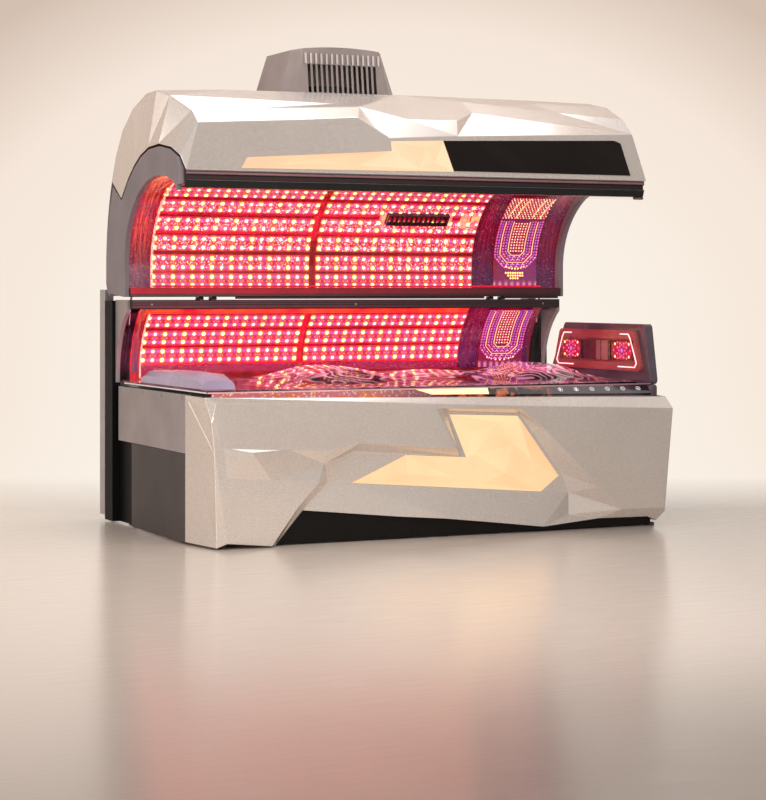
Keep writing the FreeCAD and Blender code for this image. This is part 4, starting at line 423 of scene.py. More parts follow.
@dataclass(frozen=True)
class GlossyPanel(Finish):
    """Polished dark plastic or back-printed glass, with faint smears in its gloss."""

    colour: Colour
    roughness: float = 0.06
    coat: float = 0.8

    def shader(self, graph: Graph, effects: Effects) -> Node:
        """Smears raise the roughness in streaks, and the surface waves slightly."""
        smear = graph.noise(3.2, 6, stretch=1.4)
        rough = graph.span(smear, 0.45, 0.8, self.roughness, self.roughness + 0.14)
        pale = toned(self.colour, 1.6, 0.004)
        colour = graph.mix(graph.span(smear, 0.4, 0.9, 0.0, 0.6), self.colour, pale)
        wear_and_highlight = graph.group(effects.wear_and_highlight, Radius=0.0012, Amount=0.3)
        normal = graph.bump(graph.noise(30, 1), 0.02, 0.001, wear_and_highlight.outputs["Normal"])
        return graph.principled({
            "Base Color": colour, "Roughness": rough, "Normal": normal, "Coat Weight": self.coat,
            "Coat Roughness": 0.03})


@dataclass(frozen=True)
class BrushedMetal(Finish):
    """Bare or plated metal with fine brush lines along one axis."""

    colour: Colour
    roughness: float = 0.3
    stretch: tuple[float, float, float] = (2.0, 400.0, 400.0)

    def shader(self, graph: Graph, effects: Effects) -> Node:
        """Stretched noise gives the brush lines in gloss, tone and bump."""
        brush = graph.noise(1.0, 4, vector=graph.scaled(graph.place(), self.stretch))
        colour = graph.mix(graph.span(brush, 0.3, 0.7), self.colour, toned(self.colour, 0.7))
        rough = graph.span(brush, 0.3, 0.7, self.roughness - 0.06, self.roughness + 0.1)
        return graph.principled({
            "Base Color": colour, "Metallic": 1.0, "Roughness": rough,
            "Normal": graph.bump(brush, 0.1, 0.0002)})


@dataclass(frozen=True)
class MirrorSheet(Finish):
    """Polished reflector sheet, tinted by the lamps' lacquer, with shallow ripples."""

    colour: Colour
    glow: Colour
    glow_strength: float = 0.25

    def shader(self, graph: Graph, effects: Effects) -> Node:
        """A rippled metal mirror with a faint glow where light pools."""
        ripple = graph.noise(14, 3)
        pool = graph.span(graph.noise(5, 4, stretch=0.8), 0.35, 0.7)
        emission = graph.mix(pool, BLACK_LIGHT, self.glow)
        return graph.principled({
            "Base Color": self.colour, "Metallic": 1.0,
            "Roughness": graph.span(ripple, 0.3, 0.7, 0.08, 0.2), "Normal": graph.bump(ripple, 0.12, 0.004),
            "Emission Color": emission, "Emission Strength": self.glow_strength})


@dataclass(frozen=True)
class LampBoard(Finish):
    """A lit lamp board: red ground with a glow round each lamp."""

    ground: Colour
    haze: Colour
    halo: Colour
    pitch: float = LAMP_PITCH
    rows: tuple[float, float] = (0.018, 0.060)
    strength: float = 1.0
    spread: float = 0.0125

    def shader(self, graph: Graph, effects: Effects) -> Node:
        """The ground drifts from ground to haze, and the shared halo group adds the lamps' glow."""
        low_row, high_row = self.rows
        glow = graph.group(effects.halo, Pitch=self.pitch, Low_Row=low_row, High_Row=high_row,
                           Spread=self.spread)
        drift = graph.span(graph.noise(1.9, 2), 0.42, 0.62)
        speckle = graph.span(graph.cells(160).outputs["Distance"], 0.0, 0.5, 0.75, 1.15)
        ground = graph.mix(drift, self.ground, self.haze)
        mottle = graph.node("CombineColor", {0: speckle, 1: speckle, 2: speckle}).outputs[0]
        ground = graph.mix(1.0, ground, mottle, "MULTIPLY")
        violet = graph.mix(graph.times(glow.outputs["Small"], 0.8), ground, (0.62, 0.1, 0.75))
        warm = graph.mix(glow.outputs["Odd"], self.halo, (1.0, 0.42, 0.5))
        colour = graph.mix(graph.times(glow.outputs["Halo"], 0.9), violet, warm)
        return graph.lit((0.1, 0.004, 0.006), 0.4, colour, self.strength)


@dataclass(frozen=True)
class LampDome(Finish):
    """A lit lens: white-hot at its crown and coloured towards its rim; U of its UV map is the height."""

    core: Colour
    rim: Colour
    strength: float = 2.0

    def shader(self, graph: Graph, effects: Effects) -> Node:
        """The height on the lens goes from rim to core."""
        height = graph.split(graph.sheet())[0]
        flicker = graph.span(graph.noise(21, 1), 0.3, 0.7, -0.15, 0.1)
        share = graph.span(graph.plus(height, flicker), 0.05, 0.75)
        colour = graph.mix(share, self.rim, self.core)
        return graph.lit(self.rim, 0.15, colour, self.strength)


@dataclass(frozen=True)
class Diffuser(Finish):
    """A frosted panel lit from behind; each facet has its own tone in the attribute Tone."""

    warm: Colour
    pale: Colour
    blush: Colour
    strength: float = 0.9

    def shader(self, graph: Graph, effects: Effects) -> Node:
        """The facet's tone and a slow cloud choose between warm and pale, and the ends turn pink."""
        tone = graph.node("Attribute", attribute_name="Tone").outputs["Fac"]
        cloud = graph.span(graph.noise(3.4, 3), 0.3, 0.7, -0.25, 0.25)
        body = graph.mix(graph.plus(tone, cloud), self.warm, self.pale)
        pink = graph.node("Attribute", attribute_name="Blush").outputs["Fac"]
        colour = graph.mix(pink, body, self.blush)
        frost = graph.bump(graph.noise(900, 2), 0.2, 0.0002)
        return graph.principled({
            "Base Color": (0.2, 0.14, 0.1), "Roughness": 0.4, "Normal": frost, "Emission Color": colour,
            "Emission Strength": self.strength})


@dataclass(frozen=True)
class ClearSheet(Finish):
    """Moulded clear acrylic that lets shadow rays through.

    Its two faces bend light so little that a low index stands for the sheet, and a coat gives the gloss.
    """

    colour: Colour
    ripple: float
    gloss: float
    swirl: float = 0.0

    def shader(self, graph: Graph, effects: Effects) -> Node:
        """A thin clear dielectric with lines of caught light, and a plain see-through for shadow rays.

        The lines are where the sine of a slow noise, many times over, is close to one, and they show on
        the raised parts.
        """
        wave = graph.noise(9, 2)
        turns = graph.math("SINE", graph.times(graph.noise(2.4, 2), 120.0))
        raised = graph.span(graph.split(graph.place())[2], 0.669, 0.69, 0.2 * self.swirl, self.swirl)
        caught = graph.times(graph.span(turns, 0.55, 0.95), raised)
        glass = graph.principled({
            "Base Color": self.colour, "Roughness": 0.015, "IOR": 1.08, "Transmission Weight": 1.0,
            "Coat Weight": self.gloss, "Coat Roughness": 0.1,
            "Emission Color": graph.mix(caught, BLACK_LIGHT, (1.0, 0.42, 0.55)),
            "Emission Strength": 1.0, "Normal": graph.bump(wave, self.ripple, 0.004)})
        clear = graph.node("BsdfTransparent", {"Color": self.colour})
        shadow = graph.node("LightPath").outputs["Is Shadow Ray"]
        return graph.choice(shadow, glass, clear)


@dataclass(frozen=True)
class FadingTrim(Finish):
    """A strip along X that shines with lamp light at one end and darkens towards the other."""

    bright: Colour
    dim: Colour
    lit_end: float
    dark_end: float

    def shader(self, graph: Graph, effects: Effects) -> Node:
        """X fades the light, and noise breaks it up."""
        along = graph.split(graph.place())[0]
        fade = graph.span(along, self.lit_end, self.dark_end, 1.0, 0.0)
        share = graph.times(fade, graph.span(graph.noise(7, 3), 0.3, 0.7, 0.6, 1.0))
        return graph.lit((0.012, 0.008, 0.009), 0.25, graph.mix(share, self.dim, self.bright), 1.0)


@dataclass(frozen=True)
class Rubber(Finish):
    """Matt rubber with dust in its pores."""

    colour: Colour

    def shader(self, graph: Graph, effects: Effects) -> Node:
        """Grain bumps a rough dark base, and dust pales it in patches."""
        grain = graph.group(effects.grain, Scale=500.0)
        colour = graph.mix(graph.times(grain.outputs["Tone"], 0.3), self.colour, (0.12, 0.11, 0.1))
        return graph.principled({
            "Base Color": colour, "Roughness": 0.75,
            "Normal": graph.bump(grain.outputs["Height"], 0.3, 0.0006)})


@dataclass(frozen=True)
class GlowSheet(Finish):
    """A reflector end full of lamp light, from its UV map: U from its middle line, V up its length."""

    ground: Colour
    streak: Colour
    edge: Colour
    specks: float

    def shader(self, graph: Graph, effects: Effects) -> Node:
        """Streaks run up the middle, the edges cool down, and cells throw bright specks."""
        across, up, _ = graph.split(graph.sheet())
        run = graph.scaled(graph.sheet(), (90.0, 7.0, 1.0))
        streak = graph.span(graph.noise(1.0, 4, vector=run), 0.4, 0.62)
        inner = graph.span(graph.math("ABSOLUTE", across), 0.008, 0.05, 1.0, 0.1)
        warm = graph.mix(graph.times(streak, inner), self.ground, self.streak)
        foot = graph.span(up, 0.28, 0.06, 0.0, 0.85)
        cool = graph.math("MAXIMUM", graph.span(graph.noise(6, 3), 0.5, 0.68, 0.0, 0.55), foot)
        body = graph.mix(cool, warm, self.edge)
        cells = graph.cells(210)
        lit = graph.math("LESS_THAN", cells.outputs["Distance"], 0.24)
        chosen = graph.math("GREATER_THAN", graph.split(cells.outputs["Color"])[0], 1.0 - 0.3 * self.specks)
        colour = graph.mix(graph.times(lit, chosen), body, (1.0, 0.6, 0.45))
        return graph.lit((0.02, 0.001, 0.002), 0.22, colour, 1.0)


@dataclass(frozen=True)
class LitTrim(Finish):
    """A narrow lit strip whose light runs between two colours."""

    bright: Colour
    dim: Colour
    strength: float
    scale: float

    def shader(self, graph: Graph, effects: Effects) -> Node:
        """Noise along the strip chooses between the bright and the dim colour."""
        share = graph.span(graph.noise(self.scale, 3), 0.38, 0.62)
        colour = graph.mix(share, self.dim, self.bright)
        return graph.lit(self.dim, 0.3, colour, self.strength)


@dataclass(frozen=True)
class ReflectionPaintedGlass(Finish):
    """Dark glass with a painted reflection of the lamps: rose specks at the foot end, amber veins in the
    middle, grey at the head end.
    """

    colour: Colour
    pale: Colour

    def shader(self, graph: Graph, effects: Effects) -> Node:
        """X chooses between specks, veins and grey clouds, all painted reflection, and smears break the
        gloss.
        """
        along = graph.split(graph.place())[0]
        vein = graph.span(graph.noise(11, 5, stretch=2.2), 0.5, 0.66)
        amber = graph.times(vein, graph.span(along, 0.42, 0.62, 1.0, 0.0))
        cells = graph.cells(64)
        speck = graph.span(cells.outputs["Distance"], 0.16, 0.42, 1.0, 0.0)
        rose = graph.times(speck, graph.span(along, -0.6, 0.1, 1.0, 0.0))
        # Painted reflection: the rose haze, specks and amber veins are the lamps seen in the glass.
        haze = graph.mix(graph.span(along, -0.5, 0.1, 1.0, 0.0), BLACK_LIGHT, (0.62, 0.15, 0.18))
        warm = graph.mix(amber, haze, (0.75, 0.16, 0.04))
        light = graph.mix(rose, warm, (1.0, 0.66, 0.5))
        cloud = graph.span(graph.noise(4, 4), 0.42, 0.6, 0.0, 0.8)
        grey = graph.times(cloud, graph.span(along, 0.25, 0.6))
        smear = graph.span(graph.noise(3.2, 6, stretch=1.4), 0.45, 0.8, 0.05, 0.18)
        return graph.principled({
            "Base Color": graph.mix(grey, self.colour, self.pale), "Roughness": smear, "Coat Weight": 1.0,
            "Coat Roughness": 0.03, "Emission Color": light, "Emission Strength": 0.9})


# --- Surfaces ---


@dataclass
class Surface:
    """A mesh as arrays: points, faces and one UV per point in metres."""

    points: Array
    faces: list[NDArray[np.int64]]
    sheet: Array | None = None

    @staticmethod
    def joined(parts: list[Surface]) -> Surface:
        """One surface from several, with the faces renumbered."""
        starts = np.cumsum([0] + [len(part.points) for part in parts[:-1]])
        faces = [block + start for part, start in zip(parts, starts) for block in part.faces]
        sheets = [np.zeros((len(part.points), 2)) if part.sheet is None else part.sheet for part in parts]
        return Surface(np.concatenate([part.points for part in parts]), faces, np.concatenate(sheets))


def grid_faces(rows: int, columns: int, closed: bool = False) -> NDArray[np.int64]:
    """Quads of a grid of rows by columns points; closed joins the last column to the first."""
    row = np.arange(rows - 1)[:, None]
    column = np.arange(columns if closed else columns - 1)[None, :]
    following = (column + 1) % columns
    quads = np.stack([row * columns + column, row * columns + following,
                      (row + 1) * columns + following, (row + 1) * columns + column], axis=-1)
    return quads.reshape(-1, 4)


def swept(rings: Array, capped: bool = True, sheet: Array | None = None) -> Surface:
    """A closed profile carried along a path.

    Point (i, j) is profile corner j at station i, so rings has the shape (stations, corners, 3).

    Args:
        rings: the profile's points at each station.
        capped: whether the two ends are closed.
        sheet: UVs with the shape (stations, corners, 2).

    Returns:
        The closed surface.
    """
    stations, corners, _ = rings.shape
    faces: list[NDArray[np.int64]] = [grid_faces(stations, corners, closed=True)]
    if capped:
        ends = np.stack([np.arange(corners)[::-1], (stations - 1) * corners + np.arange(corners)])
        faces.append(ends)
    flat = None if sheet is None else sheet.reshape(-1, 2)
    return Surface(rings.reshape(-1, 3), faces, flat)


def dome(rings: int = 2, sides: int = 8, height: float = 0.6) -> Surface:
    """A lens of unit radius on the plane z = 0: (cos a cos b, cos a sin b, height sin a)."""
    rise = np.linspace(0, math.pi / 2, rings + 1)[:-1]
    turn = np.linspace(0, 2 * math.pi, sides, endpoint=False)
    ring = np.stack([np.outer(np.cos(rise), np.cos(turn)), np.outer(np.cos(rise), np.sin(turn)),
                     np.repeat(height * np.sin(rise)[:, None], sides, axis=1)], axis=-1).reshape(-1, 3)
    points = np.vstack([ring, [[0.0, 0.0, height]]])
    last = (rings - 1) * sides
    step = np.arange(sides)
    cap = np.stack([last + step, last + (step + 1) % sides, np.full(sides, rings * sides)], axis=-1)
    base = np.arange(sides)[::-1][None, :]
    crown = np.append(np.repeat(rise / (math.pi / 2), sides), 1.0)
    faces = [grid_faces(rings, sides, closed=True), cap, base]
    return Surface(points, faces, np.stack([crown, crown], axis=1))


def scattered(shape: Surface, places: Array, normals: Array, radii: Array) -> Surface:
    """Copies of a shape: p = place + radius (x T + y B + z N), with T along X and B = N x T."""
    normal = normals / np.linalg.norm(normals, axis=1, keepdims=True)
    tangent = np.cross(np.array([0.0, 0.0, 1.0]) + 0.001, normal)
    tangent /= np.linalg.norm(tangent, axis=1, keepdims=True)
    across = np.cross(normal, tangent)
    local = shape.points[None, :, :] * radii[:, None, None]
    points = (places[:, None, :] + local[..., 0:1] * tangent[:, None, :]
              + local[..., 1:2] * across[:, None, :] + local[..., 2:3] * normal[:, None, :])
    shift = (np.arange(len(places)) * len(shape.points))[:, None, None]
    faces = [(block[None] + shift).reshape(-1, block.shape[1]) for block in shape.faces]
    sheet = None if shape.sheet is None else np.tile(shape.sheet, (len(places), 1))
    return Surface(points.reshape(-1, 3), faces, sheet)


def ribbon(path: Array, normals: Array, width: float, height: float, closed: bool = False) -> Surface:
    """A flat bar along a path on a surface: corners at path +- width/2 W and up to height N.

    Args:
        path: the middle line's points.
        normals: the surface's normal at each point.
        width: across the path.
        height: off the surface.
        closed: whether the path returns to its start.

    Returns:
        The bar as a closed surface.
    """
    if closed:
        path = np.vstack([path, path[:1]])
        normals = np.vstack([normals, normals[:1]])
        before = np.vstack([path[-2:-1], path[:-1]])
        after = np.vstack([path[1:], path[1:2]])
        run = after - before
    else:
        run = np.gradient(path, axis=0)
    run /= np.linalg.norm(run, axis=1, keepdims=True)
    normal = normals / np.linalg.norm(normals, axis=1, keepdims=True)
    side = np.cross(run, normal) * width / 2
    lift = normal * height
    rings = np.stack([path - side, path + side, path + 0.6 * side + lift, path - 0.6 * side + lift], axis=1)
    if closed:
        rings = rings[:-1]
        stations = len(rings)
        wrap = grid_faces(stations + 1, 4, closed=True) % (stations * 4)
        return Surface(rings.reshape(-1, 3), [wrap])
    return swept(rings)


class Workshop:
    """Turns surfaces into pieces that ride on the frame, and softens the frame's own nodes."""

    def __init__(self, frame: dict) -> None:
        """Keeps the frame and builds the shared effects."""
        self.frame = frame
        self.effects = Effects()
        self.materials: dict[str, Material] = {}

    def material(self, finish: Finish) -> Material:
        """The finish's material, built when it is first asked for."""
        if finish.name not in self.materials:
            self.materials[finish.name] = finish.build(self.effects)
        return self.materials[finish.name]

    def span(self, node: str) -> tuple[Array, Array]:
        """A CAD node's lowest and highest corners."""
        low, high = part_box(node)
        return np.array(low), np.array(high)

    def middle(self, node: str) -> Array:
        """The middle of a CAD node's box."""
        low, high = self.span(node)
        return (low + high) / 2

    def piece(self, name: str, surface: Surface | list[Surface], finish: Finish, body: str,
              slot: str | None = None, replaces: tuple[str, ...] = (), smooth: bool = False,
              bevel: float = 0.0) -> Shown:
        """Makes a mesh piece from a surface.

        Args:
            name: the piece's name.
            surface: its points, faces and UVs, or several such surfaces to join.
            finish: its finish.
            body: the CAD body that it rides on.
            slot: the record's material slot; not used.
            replaces: CAD nodes that it stands for.
            smooth: whether its faces are shaded smooth.
            bevel: width of rounded edges, or none.

        Returns:
            The new object.
        """
        if isinstance(surface, list):
            surface = Surface.joined(surface)
        mesh = bpy.data.meshes.new(name)
        faces = [face for block in surface.faces for face in block.tolist()]
        mesh.from_pydata(surface.points.tolist(), [], faces)
        if surface.sheet is not None:
            corners = np.zeros(len(mesh.loops), dtype=np.int64)
            mesh.loops.foreach_get("vertex_index", corners)
            layer = mesh.uv_layers.new(name="Metres")
            layer.data.foreach_set("uv", surface.sheet[corners].astype(np.float32).ravel())
        mesh.materials.append(self.material(finish))
        made = bpy.data.objects.new(name, mesh)
        bpy.context.scene.collection.objects.link(made)
        self.settle(made, 0.0, 1e-6, smooth, width=bevel)
        if bevel:
            self.round_edges(made, bevel)
        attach(made, body)
        if replaces:
            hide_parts(*replaces)
        LOG.info("piece %s on %s, %d faces", name, body, len(mesh.polygons))
        return made

    @staticmethod
    def settle(made: Shown, flat: float, near: float, smooth: bool, crease: float = 32.0,
               width: float = 0.0) -> None:
        """Merges doubles, dissolves flat neighbours, turns normals outwards and marks sharp edges.

        A sharp edge's rounding grows with its angle, and never passes a third of the shortest
        edge that it meets.

        Args:
            made: the object.
            flat: the angle in degrees under which neighbours are one face, or 0 to keep them.
            near: distance within which points are one.
            smooth: whether faces are shaded smooth between sharp edges.
            crease: the angle in degrees from which an edge is sharp.
            width: the widest rounding.
        """
        work = bmesh.new()
        work.from_mesh(made.data)
        bmesh.ops.remove_doubles(work, verts=work.verts, dist=near)
        if flat:
            bmesh.ops.dissolve_limit(work, angle_limit=math.radians(flat), verts=work.verts,
                                     edges=work.edges)
        bmesh.ops.recalc_face_normals(work, faces=work.faces)
        for face in work.faces:
            face.smooth = smooth
        limit = math.radians(crease)
        weight = work.edges.layers.float.new("bevel_weight_edge")
        for edge in work.edges:
            angle = edge.calc_face_angle(0.0)
            edge.smooth = angle < limit
            if width and not edge.smooth:
                near_by = min(other.calc_length() for end in edge.verts for other in end.link_edges)
                edge[weight] = min(1.0, max(0.25, angle), near_by / (3 * width))
        work.to_mesh(made.data)
        work.free()

    @staticmethod
    def round_edges(made: Shown, width: float, segments: int = 2) -> None:
        """Adds a bevel to the edges by the weights that settling gave them."""
        bevel = made.modifiers.new("edges", "BEVEL")
        bevel.width = width
        bevel.segments = segments
        bevel.limit_method = "WEIGHT"
        bevel.harden_normals = True
        for face in made.data.polygons:
            face.use_smooth = True

    def softened(self, node: str, finish: Finish, width: float, flat: float = 0.4,
                 crease: float = 32.0, segments: int = 2) -> Shown:
        """A merged copy of a CAD node with rounded edges, which stands for it.

        Args:
            node: the CAD node.
            finish: the copy's finish.
            width: the edges' rounding; 0 leaves them sharp.
            flat: the angle in degrees under which neighbouring triangles are one face.
            crease: the angle in degrees from which an edge stays sharp.
            segments: steps across a rounded edge.

        Returns:
            The copy.
        """
        source = self.frame["nodes"][node]
        made = bpy.data.objects.new(f"{node}_skin", source.data.copy())
        made.data.materials.clear()
        made.data.materials.append(self.material(finish))
        bpy.context.scene.collection.objects.link(made)
        self.settle(made, flat, 1e-5, True, crease, width)
        if width:
            self.round_edges(made, width, segments)
        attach(made, body_of(source)[0])
        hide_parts(node)
        LOG.info("softened %s, %d faces", node, len(made.data.polygons))
        return made

    def dress(self, finish: Finish, *nodes: str) -> None:
        """Gives CAD nodes a finish by their material slots."""
        material = self.material(finish)
        for name in nodes:
            node = self.frame["nodes"][name]
            if not node.material_slots:
                node.data.materials.append(material)
            for slot in node.material_slots:
                slot.material = material
            LOG.info("dressed %s with %s", name, finish.name)


class Palette:
    """Every finish of the bed."""

    SHELL = MetallicPaint("champagne_paint", shade(220, 209, 201), shade(201, 187, 177))
    DISPLAY = GlossyPanel("display_glass", shade(12, 5, 5), 0.05, 0.1)
    # The control strip's glass, with a painted reflection of the lamps.
    STRIP = ReflectionPaintedGlass("strip_glass", shade(22, 17, 18), shade(78, 66, 72))
    CAP = CoatedSheet("cap_moulding", shade(118, 108, 112), 0.36, 0.1)
    SIDE = CoatedSheet("graphite_coat", shade(56, 48, 49), 0.4, 0.2, gloss=0.3)
    SIDE_UPPER = CoatedSheet("upper_side_coat", shade(150, 140, 139), 0.36, 0.35)
    COLUMN = CoatedSheet("column_coat", shade(14, 12, 13), 0.5, 0.0, gloss=0.12)
    COVER = CoatedSheet("cover_coat", shade(168, 160, 160), 0.35, 0.4)
    FRAME = CoatedSheet("frame_coat", shade(62, 60, 62), 0.5, 0.2)
    RAIL = CoatedSheet("rail_anodised", shade(36, 32, 34), 0.26, 0.5, 1200.0, 0.05)
    PLINTH = CoatedSheet("plinth_moulding", shade(14, 11, 10), 0.3, 0.0, gloss=0.2)
    DUCT = CoatedSheet("duct_moulding", shade(152, 139, 135), 0.38, 0.25)
    # The duct's plastic painted paler: painted light where the fins catch it.
    LIT_FIN = CoatedSheet("duct_fin_painted_light", shade(206, 194, 190), 0.34, 0.2)
    REST = CoatedSheet("foot_rest_moulding", shade(170, 153, 178), 0.24, 0.0, 600.0, 0.05)
    POD = GlossyPanel("pod_moulding", shade(66, 58, 66), 0.16, 0.4)
    POD_FACE = GlossyPanel("pod_glazing", shade(138, 62, 60), 0.16, 0.5)
    POD_WINDOW = GlossyPanel("pod_window", shade(84, 34, 32), 0.08, 0.8)
    POD_PANE = GlossyPanel("pod_pane", shade(128, 88, 82), 0.12, 0.6)
    # Chrome tinted pink: a painted reflection of the lamps.
    KNOB = BrushedMetal("knob_chrome_pink_reflection", (0.5, 0.3, 0.32), 0.2)
    BLACK = CoatedSheet("black_moulding", shade(30, 28, 28), 0.45, 0.0)
    CASE = BrushedMetal("driver_case", (0.55, 0.55, 0.57))
    ZINC = BrushedMetal("zinc_plate", (0.62, 0.6, 0.58), 0.32, (300.0, 300.0, 300.0))
    CHROME = BrushedMetal("hard_chrome", (0.8, 0.8, 0.81), 0.12, (200.0, 200.0, 6.0))
    KEYS = BrushedMetal("key_satin", (0.7, 0.7, 0.72), 0.25, (400.0, 12.0, 12.0))
    MIRROR = MirrorSheet("lamp_reflector", (0.5, 0.035, 0.05), (0.55, 0.01, 0.02), 0.35)
    TRAY = MirrorSheet("tray_reflector", (0.75, 0.1, 0.3), (0.98, 0.08, 0.3), 2.4)
    BOARD = LampBoard("lamp_board", (0.58, 0.0, 0.006), (0.52, 0.002, 0.035), (1.0, 0.66, 0.13))
    BENCH_BOARD = LampBoard("bench_board", (0.85, 0.01, 0.25), (0.7, 0.02, 0.5), (1.0, 0.66, 0.7),
                            strength=2.0)
    FACE_BOARD = LampBoard("face_board", (0.14, 0.0, 0.05), (0.1, 0.004, 0.14), (0.22, 0.01, 0.12),
                           0.017, (0.0, 0.014), 0.7)
    CLEAR = ClearSheet("clear_acrylic", (1.0, 0.95, 0.95), 0.02, 0.3)
    BENCH_CLEAR = ClearSheet("bench_acrylic_sheet", (1.0, 0.93, 0.96), 0.08, 0.3, 0.45)
    FRONT_GLOW = Diffuser("front_diffuser", shade(246, 180, 122), shade(254, 217, 164),
                          shade(252, 192, 168))
    CANOPY_GLOW = Diffuser("canopy_diffuser", shade(244, 174, 122), shade(252, 211, 170),
                           shade(250, 184, 170))
    WARM = LampDome("lens_warm", (1.0, 0.93, 0.55), (1.0, 0.66, 0.1), 2.3)
    BLUSH = LampDome("lens_blush", (1.0, 0.88, 0.72), (1.0, 0.44, 0.22), 2.0)
    VIOLET = LampDome("lens_violet", (0.66, 0.4, 0.85), (0.26, 0.02, 0.4), 0.6)
    RED = LampDome("lens_red", (1.0, 0.46, 0.28), (0.85, 0.07, 0.05), 1.3)
    MAGENTA = LampDome("lens_magenta", (0.9, 0.3, 0.6), (0.42, 0.02, 0.28), 0.8)
    AMBER = LampDome("lens_amber", (1.0, 0.85, 0.3), (1.0, 0.4, 0.04), 1.8)
    LINE = LampDome("light_line", (1.0, 0.8, 0.62), (1.0, 0.42, 0.2), 1.6)
    WHITE_LINE = LampDome("light_line_white", (1.0, 0.86, 0.84), (1.0, 0.5, 0.5), 1.7)
    SPECK = LampDome("specks_white", (1.0, 0.86, 0.8), (1.0, 0.5, 0.45), 1.5)
    SPECK_WARM = LampDome("specks_orange", (1.0, 0.6, 0.25), (1.0, 0.2, 0.08), 1.2)
    END_GLOW = GlowSheet("end_glow", (0.34, 0.0, 0.012), (1.0, 0.13, 0.03), (0.04, 0.0, 0.06), 0.9)
    DIM_GLOW = GlowSheet("dim_glow", (0.11, 0.0, 0.012), (0.42, 0.008, 0.06), (0.03, 0.0, 0.05), 0.35)
    STREAKS = GlowSheet("streak_glow", (0.45, 0.0, 0.02), (1.0, 0.4, 0.25), (0.3, 0.0, 0.05), 0.6)
    EDGE_LIGHT = LitTrim("edge_light", (1.0, 0.8, 0.6), (0.85, 0.08, 0.09), 1.15, 150.0)
    RED_LINE = LitTrim("red_line", (0.75, 0.01, 0.02), (0.4, 0.0, 0.02), 0.8, 5.0)
    ORANGE_LINE = LitTrim("orange_line", (0.95, 0.1, 0.02), (0.5, 0.005, 0.01), 0.9, 8.0)
    OUTLET_GLOW = LitTrim("outlet_glow", (1.0, 0.5, 0.12), (0.75, 0.05, 0.12), 1.3, 26.0)
    SLOT_GLOW = FadingTrim("slot_glow", (0.022, 0.001, 0.001), (0.004, 0.0, 0.0), -1.1, 0.6)
    RAIL_GLOW = FadingTrim("rail_glow", (0.62, 0.006, 0.02), (0.035, 0.003, 0.006), -1.1, 0.9)
    RAIL_SHEEN = FadingTrim("rail_sheen", (0.17, 0.035, 0.05), (0.012, 0.005, 0.007), -1.1, 0.8)
    BENCH_RIM = FadingTrim("bench_rim", (1.0, 0.5, 0.46), (0.2, 0.1, 0.12), -0.6, 1.0)
    # Painted highlight along the bench frame's foot-end edge.
    FOOT_END_HIGHLIGHT = CoatedSheet("painted_foot_end_highlight", shade(226, 216, 212), 0.3, 0.0)
    SEAM = CoatedSheet("seam_rubber", shade(62, 22, 28), 0.4, 0.0)
    LIP = CoatedSheet("lip_mauve", shade(132, 94, 98), 0.3, 0.3)
    SILVER = BrushedMetal("silver_trim", (0.42, 0.4, 0.39), 0.26)
    BAND = CoatedSheet("rail_band", shade(24, 28, 28), 0.25, 0.3, 900.0, 0.05)
    SYMBOL = LitTrim("key_symbols", (0.9, 0.9, 0.9), (0.6, 0.6, 0.62), 0.7, 60.0)
    # A painted reflection of the canopy's light panel in the strip's glass.
    STRIP_PANEL_REFLECTION = LitTrim("strip_panel_reflection", (0.95, 0.6, 0.36), (0.95, 0.5, 0.28), 0.85, 4.0)
    POD_GROUND = LitTrim("pod_lamp_ground", (0.6, 0.008, 0.04), (0.2, 0.0, 0.04), 0.8, 40.0)
    POD_BARS = GlossyPanel("pod_bars", shade(44, 22, 24), 0.08, 0.6)
    FOOT = Rubber("foot_rubber", (0.02, 0.02, 0.02))


class LampKind(Enum):
    """The kinds of lens on a lamp board: finish, radius and place in the pattern."""

    WARM = (Palette.WARM, 0.0105)
    BLUSH = (Palette.BLUSH, 0.0085)
    VIOLET = (Palette.VIOLET, 0.0042)
    RED = (Palette.RED, 0.0036)


@dataclass
class Strip:
    """One lamp board: its lower edge and its direction in Y and Z, and its height."""

    start: Array
    along: Array
    height: float

    @property
    def inward(self) -> Array:
        """The board's normal towards the user."""
        return np.array([-self.along[1], self.along[0]])


@dataclass
class Arch:
    """The canopy's inner section: an upright up to the spring, then an ellipse over the bench."""

    back: float
    spring: float
    centre: float
    rise: float

    def depth(self, height: Array, offset: float) -> Array:
        """Y at a height: the upright, then centre + reach sqrt(1 - ((z - spring) / rise)^2)."""
        share = np.clip((height - self.spring) / (self.rise + offset), 0.0, 0.999)
        reach = self.back + offset - self.centre
        return self.centre + reach * np.sqrt(1 - share**2)

    def section(self, low: float, high: float, offset: float, count: int = 80) -> tuple[Array, Array]:
        """Points in (Y, Z) between two heights, and their arc length from the lower one."""
        height = np.linspace(low, high, count)
        line = np.stack([self.depth(height, offset), height], axis=1)
        length = np.concatenate([[0.0], np.cumsum(np.linalg.norm(np.diff(line, axis=0), axis=1))])
        return line, length


@dataclass
class Wall:
    """The lamp wall's section: an arc about a centre in Y and Z."""

    centre: Array
    radius: float

    def section(self, low: float, high: float, offset: float, count: int = 60) -> tuple[Array, Array]:
        """Points in (Y, Z) between two angles in degrees, and their arc length."""
        angle = np.radians(np.linspace(low, high, count))
        reach = self.radius + offset
        line = self.centre + reach * np.stack([np.cos(angle), np.sin(angle)], axis=1)
        return line, reach * (angle - angle[0])

    def angle(self, height: float, offset: float) -> float:
        """The angle in degrees at which the arc reaches a height."""
        return math.degrees(math.asin((height - self.centre[1]) / (self.radius + offset)))

    def between(self, low: float, high: float, offset: float) -> Section:
        """The arc's section between two heights."""
        return Section(*self.section(self.angle(low, offset), self.angle(high, offset), offset))


